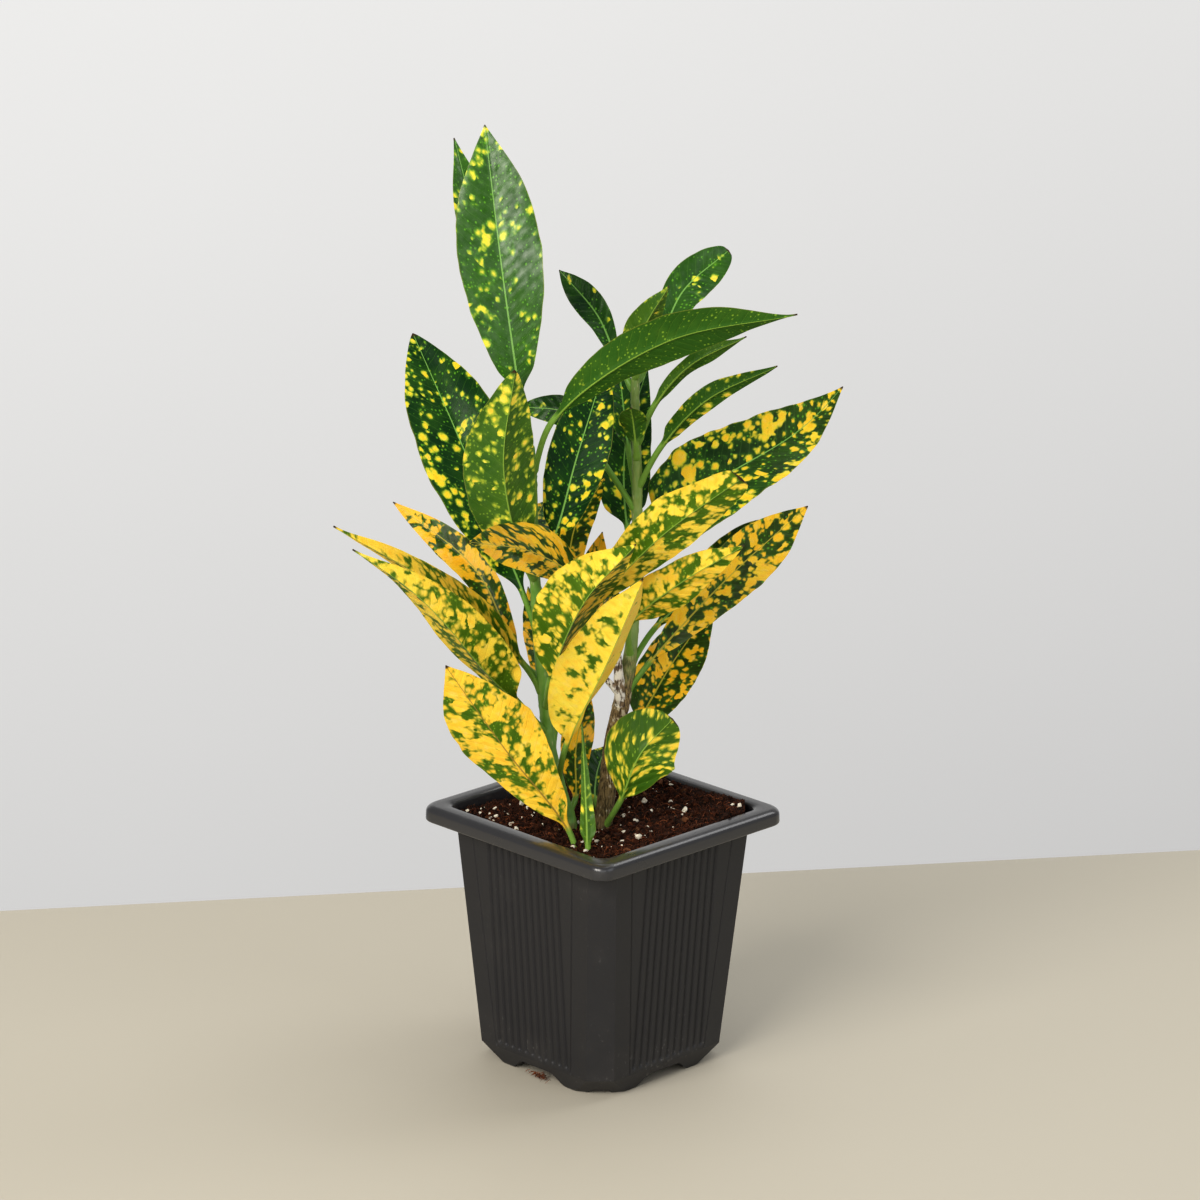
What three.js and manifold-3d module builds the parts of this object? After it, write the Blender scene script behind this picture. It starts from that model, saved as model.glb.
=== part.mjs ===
// Gold-dust croton with two stems in a square ribbed nursery pot.
// Millimetres, +Z up. The pot stands corner forward: its corners lie along X and Y,
// and the front corner points to -Y. The plant is drawn about the pot's own axis.
import * as THREE from "three";
import { mergeVertices } from "three/addons/utils/BufferGeometryUtils.js";
import Module from "manifold-3d";

const wasm = await Module();
wasm.setup();

// Pot: half widths are measured square to a side, cuts are the length a corner takes off it
const POT_HEIGHT = 112;
const RIM_HALF = 54.4;
const RIM_CORNER = 7;
const RIM_SKIRT = 7;
const MOUTH_HALF = 46;
const WALL_TOP_HALF = 47.1;
const WALL_FOOT_HALF = 39.6;
const WALL_THICKNESS = 1.7;
const CORNER_CUT = 8.3;
const BASE_BEVEL_HEIGHT = 8.5;
const FOOT_HALF = 36;
const FOOT_INNER_HALF = 32.5;
const FOOT_CUT = 15;
const FLOOR_UNDERSIDE = 5.6;
const FLOOR_THICKNESS = 1.8;
const ARCH_WIDTH = 20;
const ARCH_HEIGHT = 5;
const ARCH_SLOPE = 3;
const NOTCH_WIDTH = 6;
const NOTCH_HEIGHT = 1.3;
const DRAIN_RADIUS = 4;
const DRAIN_OFFSET = 27;

// Ribs: shallow upright flutes between two framing grooves that lean with the corners
const FLUTE_COUNT = 11;
const FLUTE_PITCH = 3.85;
const FLUTE_WIDTH = 1.9;
const FLUTE_DEPTH = 0.55;
const FLUTE_BOTTOM = 11;
const FRAME_MARGIN = 9.2;
const FRAME_WIDTH = 0.8;
const FRAME_DEPTH = 0.5;
const FRAME_BOTTOM = 9;

// Soil and clearances
const SOIL_LEVEL = 104;
const SOIL_RELIEF = 0.9;
const SOIL_MOUND = 1.5;
const SEAT_GAP = 0.3;

// Leaves: sections across and along one leaf, and its thickness
const LEAF_COLUMNS = 4;
const PETIOLE_ROWS = 4;
const BLADE_ROWS = 11;
const BLADE_HALF_THICKNESS = 0.38;
const PETIOLE_RADIUS = 1.25;
const TIP_RADIUS = 0.42;
const OUTLINE_FULLNESS = 0.75;
const STEM_SIDES = 8;
const STEM_ROWS = 18;

const OUTLINE_STEPS = 32;
const QUARTER = Math.PI / 2;
const EIGHTH = Math.PI / 4;

// Directions in which the upper side of a leaf can look
const VIEWER = [0, -1, 0.3];
const AWAY = [0, 1, 0.3];

// Stem centre lines from the soil to the top, with the radius at each end
const STEMS = {
  left: {
    path: [[-12, -9, 76], [-13, -10, 103], [-18, -11, 123], [-22, -12, 140], [-24, -12, 158],
      [-27, -13, 189], [-29, -14, 223], [-30, -14, 257], [-31, -12, 272]],
    radii: [3.3, 1.7],
  },
  right: {
    path: [[0, -7, 76], [0, -5, 102], [2, -3, 122], [4, 0, 140], [8, 3, 160], [11, 6, 179],
      [13, 11, 216], [12.8, 13, 250], [11.6, 15, 284], [11.6, 16, 298]],
    radii: [3.4, 1.6],
  },
};

// Each leaf: its stem and the height its petiole leaves from, or its root in the soil; the blade's
// start, middle and tip, its width, how far along it is broadest, where its upper side looks, its
// fold in degrees and its edge wave
const LEAVES = {
  leaf_top_tall: {
    stem: "left", from: 258, start: [-35, -13, 290], middle: [-43, -6, 344], tip: [-50.5, 12, 399],
    width: 34, broadest: 0.55, looks: VIEWER, fold: 12, wave: 1,
  },
  leaf_top_back: {
    stem: "left", from: 262, start: [-35, 0, 288], middle: [-50, 26, 336], tip: [-64, 50, 385],
    width: 22, broadest: 0.5, looks: [0.6, -1, 0.2], fold: 14, wave: 0.8,
  },
  leaf_left_dark: {
    stem: "left", from: 190, start: [-33.5, -10, 207], middle: [-56.5, 6, 259.3], tip: [-80.5, 34, 306],
    width: 38, broadest: 0.54, looks: [0.3, -1, 0.3], fold: 14, wave: 1.2,
  },
  leaf_left_olive: {
    stem: "left", from: 214, start: [-34, -24.5, 226.7], middle: [-41.5, -41, 270.7], tip: [-36.8, -50, 313],
    width: 30.5, broadest: 0.48, looks: [-0.4, 0.9, 0.3], fold: 22, wave: 1,
  },
  leaf_arch_orange: {
    stem: "left", from: 208, start: [-8, -22, 214], middle: [-28.4, -36.3, 232.7], tip: [-55, -55.5, 243],
    width: 24, broadest: 0.55, looks: [0, -0.7, 0.7], fold: 10, wave: 1.5,
  },
  leaf_centre_upper: {
    stem: "left", from: 158, start: [-22, -28, 177], middle: [-8, -55, 219], tip: [12, -70, 247],
    width: 27, broadest: 0.5, looks: [-0.25, 0.8, 0.1], fold: 42, wave: 1,
  },
  leaf_centre_gold: {
    stem: "left", from: 126, start: [-15, -34, 151], middle: [1, -64, 196], tip: [15, -80, 236],
    width: 31, broadest: 0.5, looks: [-0.5, 0.75, 0.1], fold: 38, wave: 1,
  },
  leaf_pale_right: {
    stem: "left", from: 198, start: [-8, -26, 208.5], middle: [24.2, -44, 244.8], tip: [54, -56, 271],
    width: 25.5, broadest: 0.55, looks: [-0.15, 0.85, 0.25], fold: 12, wave: 1,
  },
  leaf_low_left: {
    root: [-9.5, -30, 97], start: [-14, -28, 111], middle: [-40, -42, 151], tip: [-64, -56, 191],
    width: 33, broadest: 0.58, looks: AWAY, fold: 12, wave: 1.2,
  },
  leaf_left_low: {
    stem: "left", from: 147, start: [-35.5, -24, 165.5], middle: [-60.5, -38, 199.5], tip: [-102, -44, 236],
    width: 26, broadest: 0.38, looks: [0.4, 0.75, 0.25], fold: 28, wave: 1,
  },
  leaf_left_mid: {
    stem: "left", from: 163, start: [-33, -14, 178], middle: [-66.5, -16, 210.8], tip: [-111, -18, 238],
    width: 18, broadest: 0.44, looks: [0, 1, 1], fold: 16, wave: 0.8,
  },
  leaf_left_upper: {
    stem: "left", from: 171, start: [-35, 0, 176], middle: [-53.8, 20, 208.3], tip: [-89, 42, 231],
    width: 13.5, broadest: 0.55, looks: VIEWER, fold: 12, wave: 1,
  },
  leaf_back_left: {
    stem: "left", from: 152, start: [-25, 8, 158], middle: [-27.8, 34, 172], tip: [-32.5, 56, 190],
    width: 11, broadest: 0.55, looks: VIEWER, fold: 12, wave: 1,
  },
  leaf_big_green: {
    stem: "left", from: 259, start: [-20.5, -25, 287.3], middle: [23.5, -38, 322.5], tip: [75.5, -42, 335],
    width: 24, broadest: 0.54, looks: [0, 0.9, 0.5], fold: 12, wave: 1,
  },
  leaf_centre_dark: {
    stem: "left", from: 222, start: [-22, -14, 231], middle: [-12, -10, 266], tip: [0, 2, 304],
    width: 24, broadest: 0.5, looks: VIEWER, fold: 12, wave: 0.8,
  },
  leaf_centre_back: {
    stem: "left", from: 188, start: [-17, -2, 207], middle: [-12.5, 12, 230], tip: [-0.5, 26, 247],
    width: 13, broadest: 0.5, looks: VIEWER, fold: 12, wave: 0.8,
  },
  leaf_small_tip: {
    stem: "left", from: 180, start: [-15, 0, 189], middle: [-6, 12, 207.5], tip: [-1.3, 26, 223.5],
    width: 12, broadest: 0.5, looks: VIEWER, fold: 14, wave: 0.6,
  },
  leaf_right_tip: {
    stem: "right", from: 290, start: [20, 24, 302], middle: [30.8, 40, 323.2], tip: [50, 56, 337.2],
    width: 17, broadest: 0.62, looks: VIEWER, fold: 12, wave: 0.6,
  },
  leaf_right_top_left: {
    stem: "right", from: 286, start: [4, 22, 299], middle: [-4.2, 36, 314], tip: [-20.2, 50, 329.5],
    width: 12, broadest: 0.6, looks: VIEWER, fold: 12, wave: 0.6,
  },
  leaf_young: {
    stem: "right", from: 292, start: [13, 8, 302], middle: [14.8, 0, 318], tip: [24.5, -6, 337],
    width: 14, broadest: 0.34, looks: [0, 0.9, 0.5], fold: 30, wave: 0.4,
  },
  leaf_right_slim: {
    stem: "right", from: 264, start: [20, 12, 283], middle: [34, 6, 301.2], tip: [56.5, 0, 314.8],
    width: 7.5, broadest: 0.58, looks: AWAY, fold: 14, wave: 0.6,
  },
  leaf_right_olive: {
    stem: "right", from: 246, start: [23, 8, 266.5], middle: [41.2, -4, 289.6], tip: [69, -10, 305.2],
    width: 9.5, broadest: 0.48, looks: AWAY, fold: 14, wave: 0.8,
  },
  leaf_right_long: {
    stem: "right", from: 206, start: [22.5, 20, 221.5], middle: [57, 40, 248], tip: [99, 60, 278],
    width: 38.5, broadest: 0.35, looks: [-0.25, -0.86, 0.6], fold: 24, wave: 1.5,
  },
  leaf_right_mid: {
    stem: "right", from: 158, start: [19, 4, 174], middle: [51.5, 14, 208.3], tip: [84, 26, 235.7],
    width: 23, broadest: 0.6, looks: VIEWER, fold: 12, wave: 1.2,
  },
  leaf_right_behind: {
    stem: "right", from: 170, start: [21, 16, 185], middle: [45, 34, 201], tip: [78, 54, 223],
    width: 22, broadest: 0.6, looks: VIEWER, fold: 12, wave: 1,
  },
  leaf_right_front: {
    stem: "right", from: 176, start: [11, -14, 197], middle: [30.3, -28.5, 218.5], tip: [56, -38, 237.5],
    width: 20, broadest: 0.42, looks: AWAY, fold: 12, wave: 0.8,
  },
  leaf_right_low: {
    stem: "right", from: 134, start: [13.5, 14, 143], middle: [28.5, 34, 163.5], tip: [46.8, 52, 185],
    width: 24, broadest: 0.45, looks: VIEWER, fold: 12, wave: 1,
  },
  leaf_low_right: {
    stem: "right", from: 103, start: [7.5, -15, 120], middle: [15.5, -22, 143], tip: [28.5, -16, 156],
    width: 31, broadest: 0.6, looks: [0.2, 0.9, 0.2], fold: 14, wave: 1,
  },
  leaf_behind_right: {
    stem: "right", from: 218, start: [9, 26, 226], middle: [8, 44, 256], tip: [17, 62, 285],
    width: 22, broadest: 0.4, looks: VIEWER, fold: 12, wave: 0.8,
  },
  leaf_to_camera: {
    stem: "right", from: 258, start: [12, 6, 268], middle: [10.8, 0, 279], tip: [9.8, -8, 286.5],
    width: 11, broadest: 0.55, looks: [0, 0.7, 0.7], fold: 10, wave: 0.4,
  },
  leaf_back_curl: {
    stem: "right", from: 236, start: [-2, 16, 257.7], middle: [-16, 28, 273.8], tip: [-34, 36, 274.5],
    width: 12.5, broadest: 0.55, looks: VIEWER, fold: 12, wave: 0.6,
  },
  leaf_slim_front: {
    root: [-6, -36, 97], start: [-6, -35, 107], middle: [-7, -31, 128], tip: [-9, -24, 157],
    width: 5, broadest: 0.15, looks: [0.3, 0.9, 0], fold: 10, wave: 0.2,
  },
  leaf_low_back: {
    stem: "left", from: 112, start: [-11.5, 0, 115], middle: [-11.5, 14, 132], tip: [-6.5, 26, 155],
    width: 13, broadest: 0.55, looks: VIEWER, fold: 12, wave: 0.6,
  },
  leaf_dark_low: {
    stem: "right", from: 108, start: [-3, 6, 112], middle: [-2.5, 22, 119], tip: [1, 36, 126],
    width: 17, broadest: 0.55, looks: VIEWER, fold: 12, wave: 0.8,
  },
  leaf_back_tall: {
    stem: "left", from: 207, start: [-31, 5, 215], middle: [-31, 28, 222], tip: [-26, 48, 230],
    width: 18, broadest: 0.55, looks: VIEWER, fold: 12, wave: 1,
  },
  leaf_back_right: {
    stem: "right", from: 190, start: [7, 16, 180], middle: [-2, 44, 182], tip: [-9, 70, 184],
    width: 24, broadest: 0.55, looks: VIEWER, fold: 12, wave: 1,
  },
  leaf_back_low: {
    stem: "left", from: 136, start: [-20, 2, 145], middle: [-14, 29, 159], tip: [-9, 53, 172],
    width: 20, broadest: 0.55, looks: VIEWER, fold: 12, wave: 1,
  },
  leaf_back_mid: {
    stem: "right", from: 240, start: [9, 21, 262], middle: [6.5, 35, 279], tip: [5, 47, 290],
    width: 13, broadest: 0.55, looks: VIEWER, fold: 12, wave: 1,
  },
};

// The younger leaves, which are mostly green; the others are mostly gold
const GREEN_LEAVES = new Set([
  "leaf_top_tall", "leaf_top_back", "leaf_left_dark", "leaf_left_olive", "leaf_big_green",
  "leaf_centre_dark", "leaf_right_tip", "leaf_right_top_left", "leaf_young", "leaf_right_slim",
  "leaf_right_olive", "leaf_behind_right", "leaf_to_camera", "leaf_back_curl", "leaf_slim_front",
  "leaf_dark_low", "leaf_back_tall", "leaf_back_mid",
]);

// Turns a geometry into one closed mesh with shared corners and no empty triangles
function weld(geometry) {
  geometry.deleteAttribute("normal");
  geometry.deleteAttribute("uv");
  const welded = mergeVertices(geometry, 1e-4);
  const index = welded.getIndex().array;
  const kept = [];
  for (let i = 0; i < index.length; i += 3) {
    const [a, b, c] = [index[i], index[i + 1], index[i + 2]];
    if (a !== b && b !== c && c !== a) {
      kept.push(a, b, c);
    }
  }
  welded.setIndex(kept);
  return welded;
}

function toSolid(geometry) {
  const welded = weld(geometry);
  return new wasm.Manifold(new wasm.Mesh({
    numProp: 3,
    vertProperties: new Float32Array(welded.getAttribute("position").array),
    triVerts: new Uint32Array(welded.getIndex().array),
  }));
}

function toGeometry(solid) {
  const mesh = solid.getMesh();
  const geometry = new THREE.BufferGeometry();
  geometry.setAttribute("position", new THREE.BufferAttribute(mesh.vertProperties, 3));
  geometry.setIndex(new THREE.BufferAttribute(mesh.triVerts, 1));
  return geometry;
}

function largestPiece(solid) {
  return solid.decompose().reduce((best, piece) => (piece.volume() > best.volume() ? piece : best));
}

// A capped cylinder whose every corner is moved to place(turn, row, reach):
// turn counts the sides, row counts upwards, and reach is 0 only at the centre of a cap
function shapedCylinder(sides, rows, place) {
  const geometry = new THREE.CylinderGeometry(1, 1, rows, sides, rows);
  const position = geometry.getAttribute("position");
  for (let i = 0; i < position.count; i += 1) {
    const [x, y, z] = [position.getX(i), position.getY(i), position.getZ(i)];
    const turn = Math.round((Math.atan2(x, z) / (2 * Math.PI)) * sides + sides) % sides;
    const point = place(turn, Math.round(y + rows / 2), Math.hypot(x, z) > 0.5 ? 1 : 0);
    position.setXYZ(i, point.x, point.y, point.z);
  }
  return toSolid(geometry);
}

// One of the OUTLINE_STEPS corners of a square with cut corners, turned corner forward.
// Every quarter spends half its steps on the cut, which bows outwards by its roundness.
function outlinePoint(step, half, cut, roundness) {
  const perQuarter = OUTLINE_STEPS / 4;
  const quarter = Math.floor(step / perQuarter);
  const along = step % perQuarter;
  const cornerSteps = perQuarter / 2 - 1;
  let x = half;
  let y;
  if (along <= cornerSteps) {
    const share = along / cornerSteps;
    const bow = new THREE.Vector2(Math.cos(share * QUARTER), Math.sin(share * QUARTER));
    const chord = new THREE.Vector2(1 - share, share);
    chord.lerp(bow, roundness);
    x = half - cut + cut * chord.x;
    y = half - cut + cut * chord.y;
  } else {
    const share = (along - cornerSteps) / (perQuarter - cornerSteps);
    y = half;
    x = (half - cut) * (1 - 2 * share);
  }
  const point = new THREE.Vector2(x, y);
  return point.rotateAround(new THREE.Vector2(), quarter * QUARTER + EIGHTH);
}

function ringSolid(levels) {
  return shapedCylinder(OUTLINE_STEPS, levels.length - 1, (turn, row, reach) => {
    const { z, half, cut, roundness } = levels[row];
    const point = outlinePoint(turn, half, cut, roundness).multiplyScalar(reach);
    return new THREE.Vector3(point.x, point.y, z);
  });
}

// Half width of the outer wall at a height, between its foot and the rim
function wallHalf(z) {
  const share = (z - BASE_BEVEL_HEIGHT) / (POT_HEIGHT - RIM_SKIRT - BASE_BEVEL_HEIGHT);
  return THREE.MathUtils.lerp(WALL_FOOT_HALF, WALL_TOP_HALF, share);
}

function boxSolid(width, depth, height, place) {
  const geometry = new THREE.BoxGeometry(width, depth, height);
  geometry.applyMatrix4(place);
  return toSolid(geometry);
}

// Moves a thing built against the side that faces +X, before the corner-forward turn
function sidePlacement(side, matrix) {
  const turn = new THREE.Matrix4().makeRotationZ(side * QUARTER + EIGHTH);
  return turn.multiply(matrix);
}

function potShell() {
  const wall = { cut: CORNER_CUT, roundness: 0.2 };
  const rim = { cut: RIM_CORNER, roundness: 1 };
  const skirtBottom = POT_HEIGHT - RIM_SKIRT;
  const floorTop = FLOOR_UNDERSIDE + FLOOR_THICKNESS;
  return ringSolid([
    { z: FLOOR_UNDERSIDE, half: FOOT_INNER_HALF - 0.6, cut: FOOT_CUT, roundness: 0.4 },
    { z: 0, half: FOOT_INNER_HALF, cut: FOOT_CUT, roundness: 0.4 },
    { z: 0, half: FOOT_HALF, cut: FOOT_CUT, roundness: 0.4 },
    { z: 1.2, half: FOOT_HALF + 1.4, cut: 13, roundness: 0.35 },
    { z: 4, half: WALL_FOOT_HALF - 0.9, cut: 10, roundness: 0.25 },
    { z: BASE_BEVEL_HEIGHT, half: wallHalf(BASE_BEVEL_HEIGHT), ...wall },
    { z: skirtBottom - 2.5, half: wallHalf(skirtBottom - 2.5), ...wall },
    { z: skirtBottom, half: WALL_TOP_HALF + 1.6, cut: CORNER_CUT, roundness: 0.6 },
    { z: skirtBottom + 0.2, half: RIM_HALF - 1.2, ...rim },
    { z: skirtBottom + 1.2, half: RIM_HALF, ...rim },
    { z: POT_HEIGHT - 2.4, half: RIM_HALF - 0.2, ...rim },
    { z: POT_HEIGHT - 0.7, half: RIM_HALF - 0.9, ...rim },
    { z: POT_HEIGHT, half: RIM_HALF - 2.4, ...rim },
    { z: POT_HEIGHT, half: MOUTH_HALF + 0.8, cut: RIM_CORNER - 1, roundness: 1 },
    { z: POT_HEIGHT - 0.8, half: MOUTH_HALF, cut: RIM_CORNER - 1, roundness: 1 },
    { z: skirtBottom - 3, half: wallHalf(skirtBottom - 3) - WALL_THICKNESS, cut: 7.8, roundness: 0.3 },
    { z: floorTop + 4, half: wallHalf(floorTop + 4) - WALL_THICKNESS, cut: 7.8, roundness: 0.2 },
    { z: floorTop, half: WALL_FOOT_HALF - 4, cut: 9, roundness: 0.3 },
  ]);
}

// Cutters for one side: its flutes, its two framing grooves and the arch between the feet
function sideCutters(side) {
  const top = POT_HEIGHT - RIM_SKIRT - 3;
  const lean = Math.atan2(WALL_TOP_HALF - WALL_FOOT_HALF, POT_HEIGHT - RIM_SKIRT - BASE_BEVEL_HEIGHT);
  const groove = (bottom, width, depth, offset, splay) => {
    const height = top - bottom;
    const middle = (top + bottom) / 2;
    const matrix = new THREE.Matrix4().makeTranslation(wallHalf(middle), offset, middle);
    matrix.multiply(new THREE.Matrix4().makeRotationY(lean));
    matrix.multiply(new THREE.Matrix4().makeRotationX(splay));
    return boxSolid(2 * depth, width, height, sidePlacement(side, matrix));
  };
  const cutters = [];
  for (let i = 0; i < FLUTE_COUNT; i += 1) {
    const offset = (i - (FLUTE_COUNT - 1) / 2) * FLUTE_PITCH;
    cutters.push(groove(FLUTE_BOTTOM, FLUTE_WIDTH, FLUTE_DEPTH, offset, 0));
  }
  for (const way of [-1, 1]) {
    const middle = wallHalf((top + FRAME_BOTTOM) / 2) - CORNER_CUT - FRAME_MARGIN;
    cutters.push(groove(FRAME_BOTTOM, FRAME_WIDTH, FRAME_DEPTH, way * middle, -way * lean));
  }
  const arch = new THREE.Shape([
    new THREE.Vector2(-ARCH_WIDTH / 2, -1),
    new THREE.Vector2(ARCH_WIDTH / 2, -1),
    new THREE.Vector2(ARCH_WIDTH / 2 - ARCH_SLOPE, ARCH_HEIGHT * 0.75),
    new THREE.Vector2(ARCH_WIDTH / 2 - 2 * ARCH_SLOPE, ARCH_HEIGHT),
    new THREE.Vector2(2 * ARCH_SLOPE - ARCH_WIDTH / 2, ARCH_HEIGHT),
    new THREE.Vector2(ARCH_SLOPE - ARCH_WIDTH / 2, ARCH_HEIGHT * 0.75),
  ]);
  const tunnel = new THREE.ExtrudeGeometry(arch, { depth: POT_HEIGHT, bevelEnabled: false });
  tunnel.applyMatrix4(new THREE.Matrix4().makeBasis(
    new THREE.Vector3(0, 1, 0), new THREE.Vector3(0, 0, 1), new THREE.Vector3(1, 0, 0),
  ));
  tunnel.applyMatrix4(sidePlacement(side, new THREE.Matrix4()));
  cutters.push(toSolid(tunnel));
  const drain = new THREE.CylinderGeometry(DRAIN_RADIUS, DRAIN_RADIUS, 8, 12);
  drain.rotateX(QUARTER);
  const drainPlace = new THREE.Matrix4().makeTranslation(DRAIN_OFFSET, 0, FLOOR_UNDERSIDE + 1);
  drain.applyMatrix4(sidePlacement(side, drainPlace));
  cutters.push(toSolid(drain));
  const notch = new THREE.Matrix4().makeRotationZ(side * QUARTER);
  notch.multiply(new THREE.Matrix4().makeTranslation(FOOT_HALF, 0, 0));
  cutters.push(boxSolid(FOOT_HALF, NOTCH_WIDTH, 2 * NOTCH_HEIGHT, notch));
  return cutters;
}

function pot() {
  let solid = potShell();
  for (let side = 0; side < 4; side += 1) {
    for (const cutter of sideCutters(side)) {
      solid = solid.subtract(cutter);
    }
  }
  return largestPiece(solid);
}

// Height of the soil's crumbly surface, a little higher at the right and at the back
function soilHeight(x, y) {
  const mound = SOIL_MOUND * (x + y) / MOUTH_HALF / 2;
  const crumbs = Math.sin(x * 0.31 + y * 0.17) + Math.sin(x * 0.13 - y * 0.41 + 1);
  return SOIL_LEVEL + mound + (SOIL_RELIEF * crumbs) / 2;
}

function soil(stemHoles) {
  const floorTop = FLOOR_UNDERSIDE + FLOOR_THICKNESS + SEAT_GAP;
  const inner = (z) => wallHalf(z) - WALL_THICKNESS - 2 * SEAT_GAP;
  const shoulder = SOIL_LEVEL - 4;
  const levels = [
    { z: floorTop, half: WALL_FOOT_HALF - 5, cut: 9, roundness: 0.3 },
    { z: floorTop + 4.5, half: inner(floorTop + 4), cut: 7.8, roundness: 0.2 },
    { z: shoulder, half: inner(shoulder), cut: 7.8, roundness: 0.3 },
  ];
  for (const share of [0.985, 0.82, 0.62, 0.42, 0.2]) {
    levels.push({ z: null, half: inner(shoulder) * share, cut: 7.8 * share, roundness: 0.3 });
  }
  const block = shapedCylinder(OUTLINE_STEPS, levels.length - 1, (turn, row, reach) => {
    const { z, half, cut, roundness } = levels[row];
    const point = outlinePoint(turn, half, cut, roundness).multiplyScalar(reach);
    return new THREE.Vector3(point.x, point.y, z ?? soilHeight(point.x, point.y));
  });
  return stemHoles.reduce((solid, hole) => solid.subtract(hole), block);
}

function vector(point) {
  return new THREE.Vector3(...point);
}

function stemCurve({ path }) {
  return new THREE.CatmullRomCurve3(path.map(vector), false, "centripetal");
}

// A tapering round stem, grown all round by a margin
function stemSolid(stem, margin) {
  const curve = stemCurve(stem);
  return shapedCylinder(STEM_SIDES, STEM_ROWS, (turn, row, reach) => {
    const share = row / STEM_ROWS;
    const centre = curve.getPointAt(share);
    const radius = THREE.MathUtils.lerp(stem.radii[0], stem.radii[1], share) + margin;
    const angle = (turn / STEM_SIDES) * 2 * Math.PI;
    const end = row === 0 ? -margin : margin;
    centre.z += row === 0 || row === STEM_ROWS ? end : 0;
    centre.x += reach * radius * Math.cos(angle);
    centre.y += reach * radius * Math.sin(angle);
    return centre;
  });
}

// The point of a stem's centre line at a height
function stemPointAt(stem, height) {
  const curve = stemCurve(stem);
  let low = 0;
  let high = 1;
  for (let i = 0; i < 30; i += 1) {
    const middle = (low + high) / 2;
    if (curve.getPoint(middle).z < height) {
      low = middle;
    } else {
      high = middle;
    }
  }
  return curve.getPoint(low);
}

// Half width of a blade as a share of its widest, from its start (0) to its tip (1)
function bladeOutline(share, broadest) {
  const skew = Math.log(0.5) / Math.log(broadest);
  return Math.sin(Math.PI * share ** skew) ** OUTLINE_FULLNESS;
}

// A leaf in one piece: a petiole that opens into a thin folded blade with waved edges.
// The margin thickens it all over, for the hole that it stands in.
function leafSolid(leaf, margin) {
  const root = leaf.root ? vector(leaf.root) : stemPointAt(STEMS[leaf.stem], leaf.from);
  root.z -= margin;
  const points = [root, vector(leaf.start), vector(leaf.middle), vector(leaf.tip)];
  const curve = new THREE.CatmullRomCurve3(points, false, "centripetal");
  const lengths = curve.getLengths(300);
  const bladeStart = lengths[100] / lengths[300];
  const looks = vector(leaf.looks).normalize();
  const foldSlope = Math.tan(THREE.MathUtils.degToRad(leaf.fold));
  const rows = PETIOLE_ROWS + BLADE_ROWS;
  const sheet = new THREE.PlaneGeometry(2, rows, LEAF_COLUMNS, rows);
  const flat = sheet.getAttribute("position");
  const corners = [];
  for (const way of [1, -1]) {
    for (let i = 0; i < flat.count; i += 1) {
      const across = flat.getX(i);
      const row = Math.round(flat.getY(i) + rows / 2);
      const blade = Math.max(0, (row - PETIOLE_ROWS) / BLADE_ROWS);
      const share = row < PETIOLE_ROWS
        ? bladeStart * (row / PETIOLE_ROWS)
        : bladeStart + (1 - bladeStart) * blade;
      const tangent = curve.getTangentAt(share);
      const normal = looks.clone().addScaledVector(tangent, -looks.dot(tangent)).normalize();
      const side = new THREE.Vector3().crossVectors(tangent, normal);
      const radius = THREE.MathUtils.lerp(PETIOLE_RADIUS, TIP_RADIUS, blade) + margin;
      const broad = (leaf.width / 2) * bladeOutline(Math.min(blade, 0.9999), leaf.broadest);
      const reach = across * (radius + broad * (blade < 1 ? 1 : 0));
      const ripple = Math.sin(blade * 11 + (across > 0 ? 0 : 2)) * across * across;
      const lift = Math.abs(reach) * foldSlope * THREE.MathUtils.smoothstep(blade, 0, 0.15)
        + leaf.wave * ripple * Math.sin(Math.PI * blade);
      const ridge = Math.max(0, 1 - 0.6 * (reach / radius) ** 2);
      const opened = way > 0 ? 1 - THREE.MathUtils.smoothstep(blade, 0, 0.12) : 1;
      const thin = BLADE_HALF_THICKNESS + margin;
      const half = thin + Math.max(0, radius - thin) * ridge * opened;
      const corner = curve.getPointAt(share);
      corner.addScaledVector(side, reach);
      corner.addScaledVector(normal, lift + way * half);
      corners.push(corner);
    }
  }
  const geometry = new THREE.BufferGeometry().setFromPoints(corners);
  geometry.setIndex(sheetIndex(sheet, LEAF_COLUMNS, rows));
  return toSolid(geometry);
}

// Faces of a thin sheet: the same split on both sides, and a band round the edge
function sheetIndex(sheet, columns, rows) {
  const count = sheet.getAttribute("position").count;
  const front = Array.from(sheet.getIndex().array);
  const faces = [];
  for (let i = 0; i < front.length; i += 3) {
    const [a, b, c] = [front[i], front[i + 1], front[i + 2]];
    faces.push(a, b, c, count + a, count + c, count + b);
  }
  const across = columns + 1;
  const border = [];
  for (let i = 0; i < columns; i += 1) {
    border.push(i);
  }
  for (let i = 0; i < rows; i += 1) {
    border.push(i * across + columns);
  }
  for (let i = columns; i > 0; i -= 1) {
    border.push(rows * across + i);
  }
  for (let i = rows; i > 0; i -= 1) {
    border.push(i * across);
  }
  for (let i = 0; i < border.length; i += 1) {
    const here = border[i];
    const next = border[(i + 1) % border.length];
    faces.push(here, next, count + next, here, count + next, count + here);
  }
  return faces;
}

function material(color, roughness) {
  return new THREE.MeshStandardMaterial({ color, roughness, metalness: 0 });
}

const MATERIALS = {
  pot: material(0x2b2b2d, 0.45),
  soil: material(0x3b241b, 0.95),
  greenStem: material(0x6c9a3c, 0.5),
  woodyStem: material(0x7c6248, 0.85),
  goldLeaf: material(0xc9a52c, 0.35),
  greenLeaf: material(0x2f5f26, 0.35),
};

const plant = new THREE.Group();

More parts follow.
